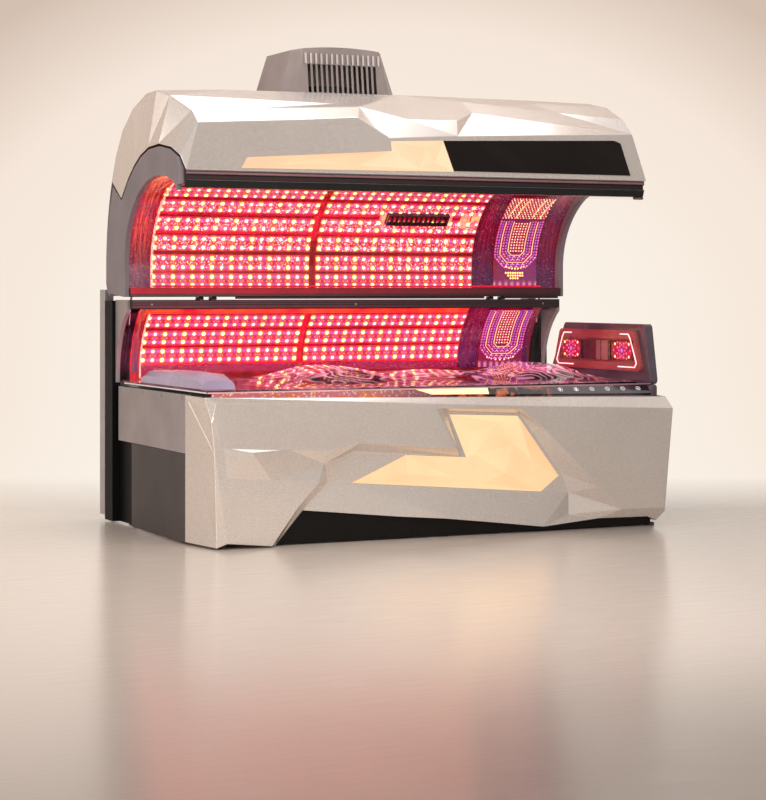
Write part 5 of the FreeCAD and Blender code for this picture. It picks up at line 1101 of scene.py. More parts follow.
@dataclass
class Section:
    """A curve in Y and Z with its arc length, to lay things on at any X."""

    line: Array
    length: Array

    def at(self, x: Array, up: Array, lift: float = 0.0) -> tuple[Array, Array]:
        """Points and normals at X and arc length, lifted towards the user.

        Args:
            x: X of each point.
            up: arc length of each point.
            lift: how far the points stand off the curve.

        Returns:
            The points and their unit normals.
        """
        slope = np.gradient(self.line, axis=0)
        y, z = (np.interp(up, self.length, self.line[:, axis]) for axis in (0, 1))
        dy, dz = (np.interp(up, self.length, slope[:, axis]) for axis in (0, 1))
        normals = np.stack([np.zeros_like(y), -dz, dy], axis=-1)
        normals /= np.linalg.norm(normals, axis=-1, keepdims=True)
        return np.stack([np.broadcast_to(x, y.shape), y, z], axis=-1) + lift * normals, normals

    def plate(self, x0: float, x1: float, low: float, high: float, lift: float,
              thick: float = 0.001) -> Surface:
        """A thin bent plate between two X and two arc lengths; U is X from its middle and V runs up."""
        count = max(2, int((high - low) / 0.012) + 1)
        up = np.linspace(low, high, count)
        corners = [self.at(np.full(count, x), up, rise)[0]
                   for x, rise in ((x0, lift), (x1, lift), (x1, lift - thick), (x0, lift - thick))]
        half = (x1 - x0) / 2
        sheet = np.zeros((count, 4, 2))
        sheet[:, :, 0] = np.array([-half, half, half, -half])
        sheet[:, :, 1] = (up - low)[:, None]
        return swept(np.stack(corners, axis=1), sheet=sheet)

    def stripe(self, x: float, low: float, high: float, lift: float, width: float) -> Surface:
        """A light line that runs up the curve at one X."""
        up = np.arange(low, high, 0.01)
        points, normals = self.at(np.full(len(up), x), up, lift)
        return ribbon(points, normals, width, 0.0015)


@dataclass
class LampField:
    """Strips of lamp boards with their lenses, on one body."""

    name: str
    body: str
    strips: list[Strip]
    ranges: Ranges
    board: LampBoard
    replaces: tuple[str, ...]
    pitch: float = LAMP_PITCH
    thickness: float = 0.005
    rows: tuple[float, float] = (0.23, 0.77)
    inset: float = 0.012

    def build(self, shop: Workshop) -> None:
        """Makes one piece per board row and one per kind of lens."""
        for number, strip in enumerate(self.strips, start=1):
            plates = [self._plate(strip, x0, x1) for x0, x1 in self.ranges]
            shop.piece(f"{self.name}_board_{number}", plates, self.board, self.body,
                       "lamp_boards", self.replaces if number == 1 else ())
        for kind in LampKind:
            lenses = [self._lenses(strip, kind) for strip in self.strips]
            finish, _ = kind.value
            shop.piece(f"{self.name}_lenses_{kind.name.lower()}", lenses, finish, self.body,
                       "lamp_boards", smooth=True)

    def _plate(self, strip: Strip, x0: float, x1: float) -> Surface:
        """A board with chamfered long edges: its octagonal section carried along X."""
        edge = 0.0012
        high = strip.height
        deep = self.thickness
        section = np.array([[edge, 0.0], [high - edge, 0.0], [high, -edge], [high, edge - deep],
                            [high - edge, -deep], [edge, -deep], [0.0, edge - deep], [0.0, -edge]])
        flat = strip.start + section[:, 0:1] * strip.along + section[:, 1:2] * strip.inward
        sheet = np.zeros((2, len(section), 2))
        sheet[:, :, 0] = np.array([x0, x1])[:, None] - self._first(x0)
        sheet[:, :, 1] = section[None, :, 0] * BOARD_HEIGHT / high
        return prism(flat, x0, x1, sheet)

    def _first(self, x0: float) -> float:
        """X of a range's first lens."""
        return x0 + self.inset

    def _lenses(self, strip: Strip, kind: LampKind) -> Surface:
        """Lenses of one kind on one strip, in the order of their pattern."""
        _, radius = kind.value
        spots: list[Array] = []
        for x0, x1 in self.ranges:
            count = int((x1 - x0 - 2 * self.inset) / self.pitch) + 1
            columns = self._first(x0) + self.pitch * np.arange(count)
            if kind is LampKind.WARM:
                places = [(columns[0::2], row) for row in self.rows]
            elif kind is LampKind.BLUSH:
                places = [(columns[1::2], row) for row in self.rows]
            elif kind is LampKind.VIOLET:
                places = [(columns[:-1] + self.pitch / 2, row) for row in self.rows]
                places.append((columns, 0.5))
            else:
                places = [(columns[:-1] + self.pitch * share, 0.5) for share in (0.25, 0.75)]
            for line, share in places:
                flat = strip.start + share * strip.height * strip.along
                spots.append(np.column_stack([line, np.tile(flat, (len(line), 1))]))
        points = np.concatenate(spots)
        normals = np.tile([0.0, *strip.inward], (len(points), 1))
        return scattered(dome(2, 8, 0.55), points, normals, np.full(len(points), radius))


def strips_on(line: Array, board_height: float) -> list[Strip]:
    """Boards between successive points of a section, centred in their gap when it is wide enough."""
    strips = []
    for first, last in zip(line, line[1:]):
        run = float(np.linalg.norm(last - first))
        along = (last - first) / run
        trim = (run - board_height) / 2 if run > board_height else 0.002
        strips.append(Strip(first + along * trim, along, run - 2 * trim))
    return strips


def field_ranges(shop: Workshop, node: str) -> Ranges:
    """X from and to of a lamp field's two parts, with the rib between them."""
    low, high = shop.span(node)
    return (low[0], SPLIT_X - SPLIT_GAP), (SPLIT_X + SPLIT_GAP, high[0])


@dataclass
class FaceTanner:
    """A face lamp: nested light lines with clusters of small lenses between them.

    Places on it are X from its middle and arc length along its section.
    """

    shop: Workshop
    name: str
    body: str
    node: str
    section: Section
    low: float
    high: float
    step: float = 0.0150
    lens: float = 0.0056

    line_loops = ((0.046, 0.056), (0.090, 0.020))
    ring_loops = ((Palette.VIOLET, 0.060, 0.045), (Palette.MAGENTA, 0.076, 0.032),
                  (Palette.VIOLET, 0.104, 0.008), (Palette.MAGENTA, 0.118, -0.005))
    centre_columns = (-0.031, -0.0155, 0.0, 0.0155, 0.031)
    fold_starts = (-0.090, -0.046, 0.046, 0.090)

    def __post_init__(self) -> None:
        """Takes the lamp's middle and half width from its CAD board."""
        low, high = self.shop.span(self.node)
        self.middle = (low[0] + high[0]) / 2
        self.half_width = (high[0] - low[0]) / 2 - 0.003

    def loop(self, half: float, low: float) -> Array:
        """A U of straight runs with cut corners, open at the top."""
        cut = 0.45 * half
        return np.array([(-half, self.high), (-half, low + cut), (cut - half, low), (half - cut, low),
                         (half, low + cut), (half, self.high)])

    def build(self) -> None:
        """Makes the board, the light lines and the lens clusters."""
        start, end = self.section.length[0], self.section.length[-1]
        board = self.section.plate(self.middle - self.half_width, self.middle + self.half_width, start, end,
                                   0.0, 0.004)
        self.shop.piece(f"{self.name}_board", board, Palette.FACE_BOARD, self.body, "face_boards",
                        (self.node,))
        self._lines("lines", [self.loop(half, self.low + drop) for half, drop in self.line_loops], 0.0028)
        for number, (finish, half, drop) in enumerate(self.ring_loops, start=1):
            spots = dense(self.loop(half, self.low + drop), self.step, even=True)
            self._cluster(f"ring_{number}", finish, spots, self.lens)
            halfway = (spots[1:] + spots[:-1]) / 2 + np.array([0.0, 0.004])
            self._cluster(f"sparks_{number}", Palette.BLUSH, halfway[number % 2::2], self.lens * 0.42)
        rows = np.arange(self.low + 0.078, self.high, self.step)
        across, up = np.meshgrid(np.array(self.centre_columns), rows)
        checks = (np.add.outer(np.arange(len(rows)), np.arange(len(self.centre_columns))) % 2).astype(bool)
        centre = np.column_stack([across.ravel(), up.ravel()])
        self._cluster("centre", Palette.RED, centre[checks.ravel()], self.lens * 1.05)
        self._cluster("centre_sparks", Palette.BLUSH, centre[~checks.ravel()], self.lens * 0.62)

    def _lines(self, label: str, paths: list[Array], width: float) -> None:
        """A piece of light lines along paths on the lamp."""
        lines = []
        for path in paths:
            fine = dense(path, 0.008)
            points, normals = self.section.at(self.middle + fine[:, 0], fine[:, 1])
            lines.append(ribbon(points, normals, width, 0.003))
        self.shop.piece(f"{self.name}_{label}", lines, Palette.LINE, self.body,
                        "face_boards")

    def _cluster(self, label: str, finish: LampDome, spots: Array, radius: float) -> None:
        """A piece of equal lenses at the given places on the lamp."""
        points, normals = self.section.at(self.middle + spots[:, 0], spots[:, 1])
        lenses = scattered(dome(2, 7, 0.6), points, normals, np.full(len(points), radius))
        self.shop.piece(f"{self.name}_{label}", lenses, finish, self.body, "face_boards", smooth=True)

    def amber_row(self, count: int, width: float, rise: float) -> None:
        """A row of amber lenses under the lamp, on a shallow bow."""
        across = np.linspace(-width / 2, width / 2, count)
        spots = np.column_stack([across, self.low - 0.012 + rise * (2 * across / width) ** 2])
        self._cluster("amber_row", Palette.AMBER, spots, self.lens * 0.85)

    def fold(self, low: float, high: float, step: float = 0.0165, lean: float = 0.030) -> None:
        """The folded part above the lamp: a staggered mesh of lenses crossed by leaning light lines."""
        rows = np.arange(low, high, 0.0125)
        across, up = np.meshgrid(np.arange(-0.118, 0.119, step), rows)
        across = across + step / 2 * (np.arange(len(rows)) % 2)[:, None]
        spots = np.column_stack([across.ravel(), up.ravel()])
        self._cluster("fold_red", Palette.RED, spots[::2], 0.0048)
        self._cluster("fold_blush", Palette.BLUSH, spots[1::2], 0.0036)
        leaning = [np.array([(x, low), (x + lean, high)]) for x in self.fold_starts]
        self._lines("fold_lines", leaning, 0.0036)

    def half_disc(self, top: float, radius: float, step: float = 0.0135, squash: float = 0.62) -> None:
        """A half-round cluster of amber lenses that hangs from a straight top edge."""
        across, down = np.meshgrid(np.arange(-radius, radius + step / 2, step),
                                   np.arange(0.0, squash * radius, step))
        inside = (across / radius) ** 2 + (down / (squash * radius)) ** 2 <= 1.0
        spots = np.column_stack([across[inside], top - down[inside]])
        self._cluster("half_disc", Palette.AMBER, spots, 0.0052)


def rectangle(near: float, far: float, low: float, high: float) -> Array:
    """A rectangle's corners in Y and Z."""
    return np.array([(near, low), (far, low), (far, high), (near, high)])


def prism(section: Array, x0: float, x1: float, sheet: Array | None = None) -> Surface:
    """A section in Y and Z carried from one X to another."""
    rings = np.zeros((2, len(section), 3))
    rings[:, :, 0] = np.array([x0, x1])[:, None]
    rings[:, :, 1:] = section
    return swept(rings, sheet=sheet)


def bar(x0: float, x1: float, upper: Array, lower: Array, thick: float) -> Surface:
    """A flat bar along X whose front runs from upper to lower in Y and Z."""
    run = (lower - upper) / np.linalg.norm(lower - upper)
    back = np.array([-run[1], run[0]]) * thick
    return prism(np.stack([upper, lower, lower + back, upper + back]), x0, x1)


def turned(profile: Array, centre: Array, start: float, sides: int) -> Surface:
    """A profile of (radius, X from start) turned about an axis along X."""
    turn = np.linspace(0, 2 * math.pi, sides, endpoint=False)
    radius = np.maximum(profile[:, 0], 1e-5)[:, None]
    rings = np.stack([np.repeat(start + profile[:, 1:2], sides, axis=1), centre[0] + radius * np.cos(turn),
                      centre[1] + radius * np.sin(turn)], axis=-1)
    return swept(rings)


def dense(path: Array, step: float, even: bool = False) -> Array:
    """Points along a path at equal steps; unless even, its own corners stay too."""
    length = np.concatenate([[0.0], np.cumsum(np.linalg.norm(np.diff(path, axis=0), axis=1))])
    count = max(2, int(round(length[-1] / step)) + 1)
    stations = np.linspace(0.0, length[-1], count)
    if not even:
        stations = np.unique(np.concatenate([stations, length]).round(6))
    return np.stack([np.interp(stations, length, path[:, axis]) for axis in range(path.shape[1])], axis=1)


@dataclass(frozen=True)
class Trim:
    """A strip along a rail, whose front runs between two edges given in Y and Z from the rail's corner."""

    name: str
    finish: Finish
    upper: tuple[float, float]
    lower: tuple[float, float]
    bevel: float = 0.0
    inset: float = 0.0
    thick: float = 0.0012

    def lay(self, shop: Workshop, body: str, ends: tuple[float, float], corner: Array) -> None:
        """Makes the strip between two X.

        Args:
            shop: the workshop.
            body: the body that carries the rail.
            ends: X of the strip's ends.
            corner: Y and Z that the edges are given from.
        """
        strip = bar(ends[0] + self.inset, ends[1], corner + np.array(self.upper),
                    corner + np.array(self.lower), self.thick)
        shop.piece(self.name, strip, self.finish, body, "dark_rail", bevel=self.bevel)


# --- Assemblies ---


@dataclass
class Canopy:
    """The hinged half: shell, caps, rails, lamps, light panel, display and duct."""

    seams: tuple[float, ...] = (1.094, 1.171, 1.265, 1.355, 1.439, 1.515, 1.562)
    sheet: float = 0.006
    arch_reach: float = 0.463
    spring_rise: float = 0.149
    fin_count: int = 15
    fin_pitch: float = 0.0268
    fin_half: float = 0.0046
    speck_density: float = 330.0
    glow_ends: tuple[float, float] = (-1.132, 1.132)
    panel_lean: float = 93 / 226

    rail_trims = (
        Trim("front_rail_edge", Palette.SILVER, (-0.0010, -0.0003), (-0.0010, -0.0030), RAIL_BEVEL),
        Trim("front_rail_lip", Palette.LIP, (-0.0010, -0.0062), (-0.0010, -0.0158), RAIL_BEVEL),
        Trim("front_rail_slot", Palette.SLOT_GLOW, (0.0094, -0.0206), (0.0094, -0.0396), RAIL_BEVEL, 0.003),
        Trim("front_rail_band", Palette.BAND, (-0.0002, -0.0440), (0.0098, -0.0725), RAIL_BEVEL, 0.003),
        Trim("front_rail_line", Palette.SILVER, (-0.0008, -0.0412), (-0.0004, -0.0432), RAIL_BEVEL, 0.003,
             thick=0.0010),
    )
    bottom_trims = (
        Trim("bottom_rail_glow", Palette.RAIL_GLOW, (0.0, -0.001), (0.0, -0.028), thick=0.001),
        Trim("bottom_rail_sheen", Palette.RAIL_SHEEN, (0.0, -0.0295), (0.0, -0.038), thick=0.001))
    knob_profile = ((0.0, 0.0), (0.0066, 0.0), (0.0074, 0.003), (0.0074, 0.012), (0.0062, 0.014),
                    (0.0062, 0.018), (0.0074, 0.020), (0.0074, 0.040), (0.0064, 0.045), (0.0, 0.0458))
    outlet_plates = ((0.108, 0.138), (0.472, 0.500), (0.545, 0.598), (0.606, 0.652))
    panel_outline = ((-0.885, 1.620), (-0.851, 1.667), (-0.598, 1.683), (-0.145, 1.714), (-0.140, 1.760),
                     (0.1245, 1.7705), (0.149, 1.627))
    panel_inner = ((-0.70, 1.640), (-0.52, 1.668), (-0.33, 1.645), (-0.10, 1.690), (0.03, 1.735),
                   (0.06, 1.665), (-0.02, 1.640))

    def build(self, shop: Workshop) -> None:
        """Builds the canopy from its shell inwards."""
        shop.softened("canopy_shell", Palette.SHELL, 0.006, flat=0.0, crease=2.5,
                      segments=3)
        shop.softened("canopy_back_cover", Palette.COVER, 0.0, flat=0.0)
        for side in ("left", "right"):
            shop.softened(f"canopy_{side}_cap", Palette.CAP, 0.003, flat=0.0)
        shop.softened("canopy_front_rail", Palette.RAIL, 0.0012, flat=0.2)
        shop.softened("canopy_bottom_rail", Palette.RAIL, 0.0, flat=0.0)
        shop.softened("exhaust_duct", Palette.DUCT, 0.002, flat=0.2)
        shop.softened("display_panel", Palette.DISPLAY, 0.002)
        shop.softened("canopy_acrylic", Palette.CLEAR, 0.0, flat=0.0)
        shop.dress(Palette.MIRROR, "canopy_reflector")
        shop.dress(Palette.FRAME, "canopy_frame")
        shop.dress(Palette.BLACK, "air_outlet", "exhaust_fan_housing", "exhaust_fan_rotor")
        self._lamps(shop)
        self._light_panel(shop)
        self._rail_trim(shop)
        self._duct_trim(shop)

    def _rail_trim(self, shop: Workshop) -> None:
        """The strips and the knob of the front rail, the seam's seal, and the bottom rail's strips."""
        low, high = shop.span("canopy_front_rail")
        corner = np.array([low[1], high[2]])
        for trim in self.rail_trims:
            trim.lay(shop, "canopy", (low[0], high[0] - 0.004), corner)
        centre = np.array([low[1] + 0.020, low[2] + 0.006])
        knob = turned(np.array(self.knob_profile), centre, high[0] - 0.0475, 24)
        shop.piece("front_rail_knob", knob, Palette.KNOB, "canopy", "dark_rail", smooth=True)
        hinge = shop.middle("hinge_pins")
        reach = shop.span("hinge_pins")[1][0]
        seals = [bar(x0, x1, hinge[1:] + np.array([0.003, 0.0072]), hinge[1:] + np.array([0.003, -0.0028]),
                     0.0025) for x0, x1 in ((-0.62, reach - 0.112), (reach + 0.004, 1.126))]
        shop.piece("seam_seal", seals, Palette.SEAM, "canopy", "dark_rail")
        low, high = shop.span("canopy_bottom_rail")
        for trim in self.bottom_trims:
            trim.lay(shop, "canopy", (low[0], high[0]), np.array([hinge[1] - 0.0032, high[2]]))

    def _duct_trim(self, shop: Workshop) -> None:
        """Slim raised fins over the upper third of the duct's slotted face; their paler colour is painted
        light on the duct's own plastic.
        """
        low, high = shop.span("exhaust_duct")
        middle = (low[0] + high[0]) / 2
        face = np.array([low[1], high[2] - 0.020])
        places = [middle + (index - self.fin_count // 2) * self.fin_pitch
                  for index in range(self.fin_count)]
        fins = [bar(x - self.fin_half, x + self.fin_half, face + np.array([0.0155, -0.014]),
                    face + np.array([0.0112, -0.062]), 0.004) for x in places]
        shop.piece("duct_fins", fins, Palette.LIT_FIN, "canopy", "duct_grey", bevel=0.0008)

    def _arch(self, shop: Workshop) -> Arch:
        """The arch as the canopy's acrylic sheet has it."""
        high = shop.span("canopy_acrylic")[1]
        back = high[1] - self.sheet
        spring = shop.middle("hinge_pins")[2] + self.spring_rise
        return Arch(back, spring, back - self.arch_reach, high[2] - self.sheet - spring)

    def _lamps(self, shop: Workshop) -> None:
        """Lamp boards on the arch, and the face lamp beside them."""
        arch = self._arch(shop)
        seams = np.array(self.seams)
        strips = strips_on(np.stack([arch.depth(seams, STAND), seams], axis=1), BOARD_HEIGHT)
        ranges = field_ranges(shop, "canopy_led_modules")
        LampField("canopy", "canopy", strips, ranges, Palette.BOARD, ("canopy_led_modules",)).build(shop)
        self._sparkle(shop, ranges, strips[1:5])
        section = Section(*arch.section(1.104, 1.545, STAND))
        face = FaceTanner(shop, "canopy_face", "canopy", "canopy_face_panel", section, 0.105, 0.345)
        face.build()
        face.amber_row(7, 0.10, 0.010)
        face.half_disc(0.072, 0.052)
        face.fold(0.368, section.length[-1] - 0.01)
        self._glow(shop, arch, face.middle)

    def _sparkle(self, shop: Workshop, ranges: Ranges, strips: list[Strip]) -> None:
        """Small bright specks that the lenses throw between them, denser towards the middle strips."""
        rng = np.random.default_rng(11)
        for finish, radius, share in ((Palette.SPECK, 0.0027, 1.0), (Palette.SPECK_WARM, 0.0034, 0.55)):
            parts = []
            for strip, density in zip(strips, (0.5, 1.0, 1.0, 0.8)):
                for x0, x1 in ranges:
                    count = int(self.speck_density * (x1 - x0) * density * share)
                    across = rng.uniform(x0 + 0.01, x1 - 0.01, count)
                    up = rng.uniform(0.006, strip.height - 0.006, count)
                    places = np.column_stack([across, strip.start + up[:, None] * strip.along])
                    normals = np.tile([0.0, *strip.inward], (count, 1))
                    sizes = radius * rng.uniform(0.6, 1.2, count)
                    parts.append(scattered(dome(1, 6, 0.9), places, normals, sizes))
            shop.piece(f"canopy_{finish.name}", parts, finish, "canopy", "lamp_boards")

    def _glow(self, shop: Workshop, arch: Arch, middle: float) -> None:
        """Light that gathers at the ends of the lamp field, along the sheet's edge and at the outlet."""
        left, right = self.glow_ends
        mirror = Section(*arch.section(1.103, 1.622, MIRROR_STAND))
        end = mirror.length[-1]
        for name, x0, x1, top in (("left", left, -1.030, end), ("inner", 0.662, 0.772, end - 0.05),
                                  ("right", 1.028, right, end - 0.05),
                                  ("under", middle - 0.126, middle + 0.126, 0.082)):
            finish = Palette.END_GLOW if name == "left" else Palette.DIM_GLOW
            shop.piece(f"canopy_{name}_end_glow", mirror.plate(x0, x1, 0.0, top, 0.0), finish, "canopy",
                       "lamp_reflector")
        face = Section(*arch.section(1.104, 1.597, 0.0))
        edge = face.stripe(-1.031, 0.0, face.length[-1], 0.0008, 0.0105)
        shop.piece("canopy_edge_light", edge, Palette.EDGE_LIGHT, "canopy", "clear_acrylic")
        foot = face.plate(-1.03, 1.03, 0.0, 0.009, 0.0012)
        shop.piece("canopy_foot_glow", foot, Palette.RED_LINE, "canopy", "clear_acrylic")
        board = Section(*arch.section(1.103, 1.562, STAND))
        outlet = np.interp([1.403, 1.466], board.line[:, 1], board.length)
        plates = [board.plate(x0, x1, outlet[0], outlet[1], 0.004) for x0, x1 in self.outlet_plates]
        shop.piece("canopy_outlet_glow", plates, Palette.OUTLET_GLOW, "canopy",
                   "lamp_boards")

    def _light_panel(self, shop: Workshop) -> None:
        """The facets of the lit fascia, on the fascia's plane."""
        upright = np.array([0.0, self.panel_lean, 1.0])
        slope = upright / math.hypot(self.panel_lean, 1.0)
        normal = np.array([0.0, -slope[2], slope[1]])
        origin = np.array([0.0, -0.440, 1.607])

        def carry(points: Array, depth: Array) -> Array:
            """Points in X and Z, laid on the leaning fascia."""
            base = origin + np.outer(points[:, 1] - origin[2], upright)
            base[:, 0] = points[:, 0]
            return base + depth[:, None] * normal

        FacetPanel("canopy_light_facets", np.array(self.panel_outline), np.array(self.panel_inner),
                   Palette.CANOPY_GLOW, "canopy", "canopy_light_panel", np.array([-0.02, 1.70]), 0.4,
                   wall=0.002, relief=0.0012, lift=0.0022).build(shop, carry)


@dataclass
class FacetPanel:
    """A lit diffuser of flat facets between an outline and a few inner points."""

    name: str
    outline: Array
    inner: Array
    finish: Diffuser
    body: str
    node: str
    bright: Array
    reach: float
    wall: float
    relief: float
    lift: float

    def build(self, shop: Workshop, carry: Callable[[Array, Array], Array]) -> None:
        """Triangulates the face, closes it with a rim and a back, and tones each facet.

        Args:
            shop: the workshop.
            carry: turns points in the panel's plane and their depths into places.
        """
        count = len(self.outline)
        flat = [Vector(point) for point in np.vstack([self.outline, self.inner])]
        edges = [(index, (index + 1) % count) for index in range(count)]
        points, _, faces, *_ = delaunay_2d_cdt(flat, edges, [], 1, 1e-6)
        plane = np.array([tuple(point) for point in points])
        rng = np.random.default_rng(7)
        dips = rng.uniform(-1.0, 0.2, len(plane)) * self.relief
        front = carry(plane, self.lift + np.where(np.arange(len(plane)) < count, 0.0, dips))
        back = carry(plane[:count], np.full(count, self.lift - self.wall))
        total = len(front)
        step = np.arange(count)
        rim = np.stack([step, total + step, total + (step + 1) % count, (step + 1) % count], axis=1)
        surface = Surface(np.vstack([front, back]), [np.array(faces), rim, (total + step)[None, :]])
        made = shop.piece(self.name, surface, self.finish, self.body, "lit_diffuser", (self.node,))
        centres = np.zeros(len(made.data.polygons) * 3)
        made.data.polygons.foreach_get("center", centres)
        middle = centres.reshape(-1, 3)[:, [0, 2]]
        away = np.linalg.norm(middle - self.bright, axis=1)
        tone = 0.25 + 0.6 * np.exp(-((away / self.reach) ** 2)) + rng.uniform(-0.22, 0.22, len(middle))
        left = self.outline[:, 0].min()
        blush = np.clip(0.8 - (middle[:, 0] - left) / 0.16, 0.0, 0.7)
        for label, values in (("Tone", tone), ("Blush", blush)):
            layer = made.data.attributes.new(label, "FLOAT", "FACE")
            layer.data.foreach_set("value", values.astype(np.float32))


@dataclass
class StripFace:
    """The control strip's tilted glass: X along it, and a share from its outer to its inner edge."""

    left: float = -1.150
    length: float = 2.300
    lift: float = 0.0012

    def at(self, x: Array, share: Array, lift: float) -> Array:
        """Places at X and share, lifted off the glass."""
        part = (x - self.left) / self.length
        outer = np.stack([x, -0.702 + 0.008 * (1 - part), 0.627 - 0.083 * part], axis=-1)
        inner = np.stack([x, -0.690 + 0.135 * part - 0.0055, np.full_like(x, 0.657)], axis=-1)
        slope = inner - outer
        normal = np.stack([np.zeros_like(x), -slope[..., 2], slope[..., 1]], axis=-1)
        normal /= np.linalg.norm(normal, axis=-1, keepdims=True)
        return outer + slope * share[..., None] + lift * normal

    def slab(self, corners: tuple[tuple[float, float], ...]) -> Surface:
        """A thin flat shape whose corners are X and share."""
        x, share = np.array(corners).T
        return swept(np.stack([self.at(x, share, self.lift + rise) for rise in (-0.0006, 0.0004)]))

    def ring(self, x: float, share: float, radius: float, width: float) -> Surface:
        """A flat ring round a point of the glass."""
        turn = np.linspace(0, 2 * math.pi, 28, endpoint=False)
        middle, ahead = self.at(np.array([x, x]), np.array([share, share + 0.01]), self.lift)
        inward = (ahead - middle) / np.linalg.norm(ahead - middle)
        spokes = np.outer(np.cos(turn), np.array([1.0, 0.0, 0.0])) + np.outer(np.sin(turn), inward)
        normal = np.cross(np.array([1.0, 0.0, 0.0]), inward)
        return ribbon(middle + radius * spokes, np.tile(normal, (len(turn), 1)), width, 0.0006, closed=True)


@dataclass
class Base:
    """The standing half: casing, plinth, panels, columns, rails and control strip."""

    key_start: float = 0.600
    key_pitch: float = 0.085
    key_count: int = 6

    rail_trims = tuple(
        Trim(f"seam_rail_sheen_{number}", Palette.RAIL_SHEEN, (0.0, -upper), (0.0, -lower), RAIL_BEVEL)
        for number, (upper, lower) in enumerate(
            ((0.0035, 0.0120), (0.0150, 0.0215), (0.0245, 0.0375)), start=1))
    # Painted reflection: corners of the pale patch where the canopy's light panel shows in the strip, as X
    # and share.
    window = ((-0.150, 0.95), (-0.074, 0.60), (0.215, 0.60), (0.222, 0.95))
    signs = (((0.596, 0.72), (0.596, 0.84), (0.605, 0.78)),
             ((0.681, 0.73), (0.681, 0.83), (0.689, 0.83), (0.689, 0.73)),
             ((1.018, 0.77), (1.018, 0.79), (1.032, 0.79), (1.032, 0.77)))
    panel_outline = ((-0.466, 0.2565), (-0.208, 0.3685), (0.0905, 0.3495), (0.009, 0.5405),
                     (0.3495, 0.5265), (0.560, 0.251), (0.468, 0.1825))
    panel_inner = ((-0.20, 0.285), (0.03, 0.262), (0.14, 0.36), (0.13, 0.46), (0.25, 0.50), (0.33, 0.40),
                   (0.29, 0.27), (0.42, 0.33), (0.17, 0.23))

    def build(self, shop: Workshop) -> None:
        """Builds the base from its casing inwards."""
        shop.softened("front_casing", Palette.SHELL, 0.006, flat=0.0, crease=2.5,
                      segments=3)
        shop.softened("plinth", Palette.PLINTH, 0.003)
        for side in ("left", "right"):
            shop.softened(f"{side}_lower_panel", Palette.SIDE, 0.0015)
            shop.softened(f"{side}_upper_panel", Palette.SIDE_UPPER, 0.0015)
            shop.softened(f"{side}_column", Palette.COLUMN, 0.0015)
            shop.dress(Palette.COLUMN, f"{side}_spring_cylinder")
            shop.dress(Palette.CHROME, f"{side}_spring_rod")
            shop.dress(Palette.BLACK, f"{side}_fan_rotor")
        shop.softened("column_covers", Palette.COVER, 0.002)
        shop.softened("middle_rail", Palette.RAIL, 0.001, flat=0.2)
        self._rail_trim(shop)
        shop.softened("control_strip", Palette.STRIP, 0.0008, flat=0.1)
        shop.dress(Palette.FRAME, "base_frame", "floor_pan", "back_cover")
        shop.dress(Palette.BLACK, "base_fan_housings", "power_inlet")
        shop.dress(Palette.ZINC, "panel_screws", "hinge_pins")
        shop.dress(Palette.CASE, "lamp_driver_bank")
        shop.dress(Palette.FOOT, "levelling_feet")
        shop.dress(Palette.KEYS, "start_key", "stop_key", "fan_key")
        self._light_panel(shop)
        self._strip_trim(shop)

    def _rail_trim(self, shop: Workshop) -> None:
        """Three strips of caught light along the seam rail."""
        low, high = shop.span("middle_rail")
        pins = shop.span("hinge_pins")[0]
        corner = np.array([pins[1] + 0.0008, pins[2] - 0.0045])
        for trim in self.rail_trims:
            trim.lay(shop, "base", (low[0] + 0.002, high[0] - 0.002), corner)

    def _strip_trim(self, shop: Workshop) -> None:
        """A pale patch, a painted reflection of the canopy's light panel, and plain key symbols, all flush
        on the strip's glass.
        """
        strip = StripFace()
        shop.piece("strip_panel_reflection", strip.slab(self.window), Palette.STRIP_PANEL_REFLECTION, "base", "black_glass")
        rings = [strip.ring(self.key_start + number * self.key_pitch, 0.78, 0.0112, 0.0016)
                 for number in range(self.key_count)]
        signs = rings + [strip.slab(sign) for sign in self.signs]
        shop.piece("key_symbols", signs, Palette.SYMBOL, "base", "key_caps")

    def _light_panel(self, shop: Workshop) -> None:
        """The facets of the casing's lit panel."""
        face = shop.span("front_light_panel")[0][1]

        def carry(points: Array, depth: Array) -> Array:
            """Points in X and Z, laid on the upright face."""
            return np.stack([points[:, 0], face - depth, points[:, 1]], axis=1)

        FacetPanel("front_light_facets", np.array(self.panel_outline), np.array(self.panel_inner),
                   Palette.FRONT_GLOW, "base", "front_light_panel", np.array([0.12, 0.44]), 0.35,
                   wall=0.006, relief=0.004, lift=0.0).build(shop, carry)


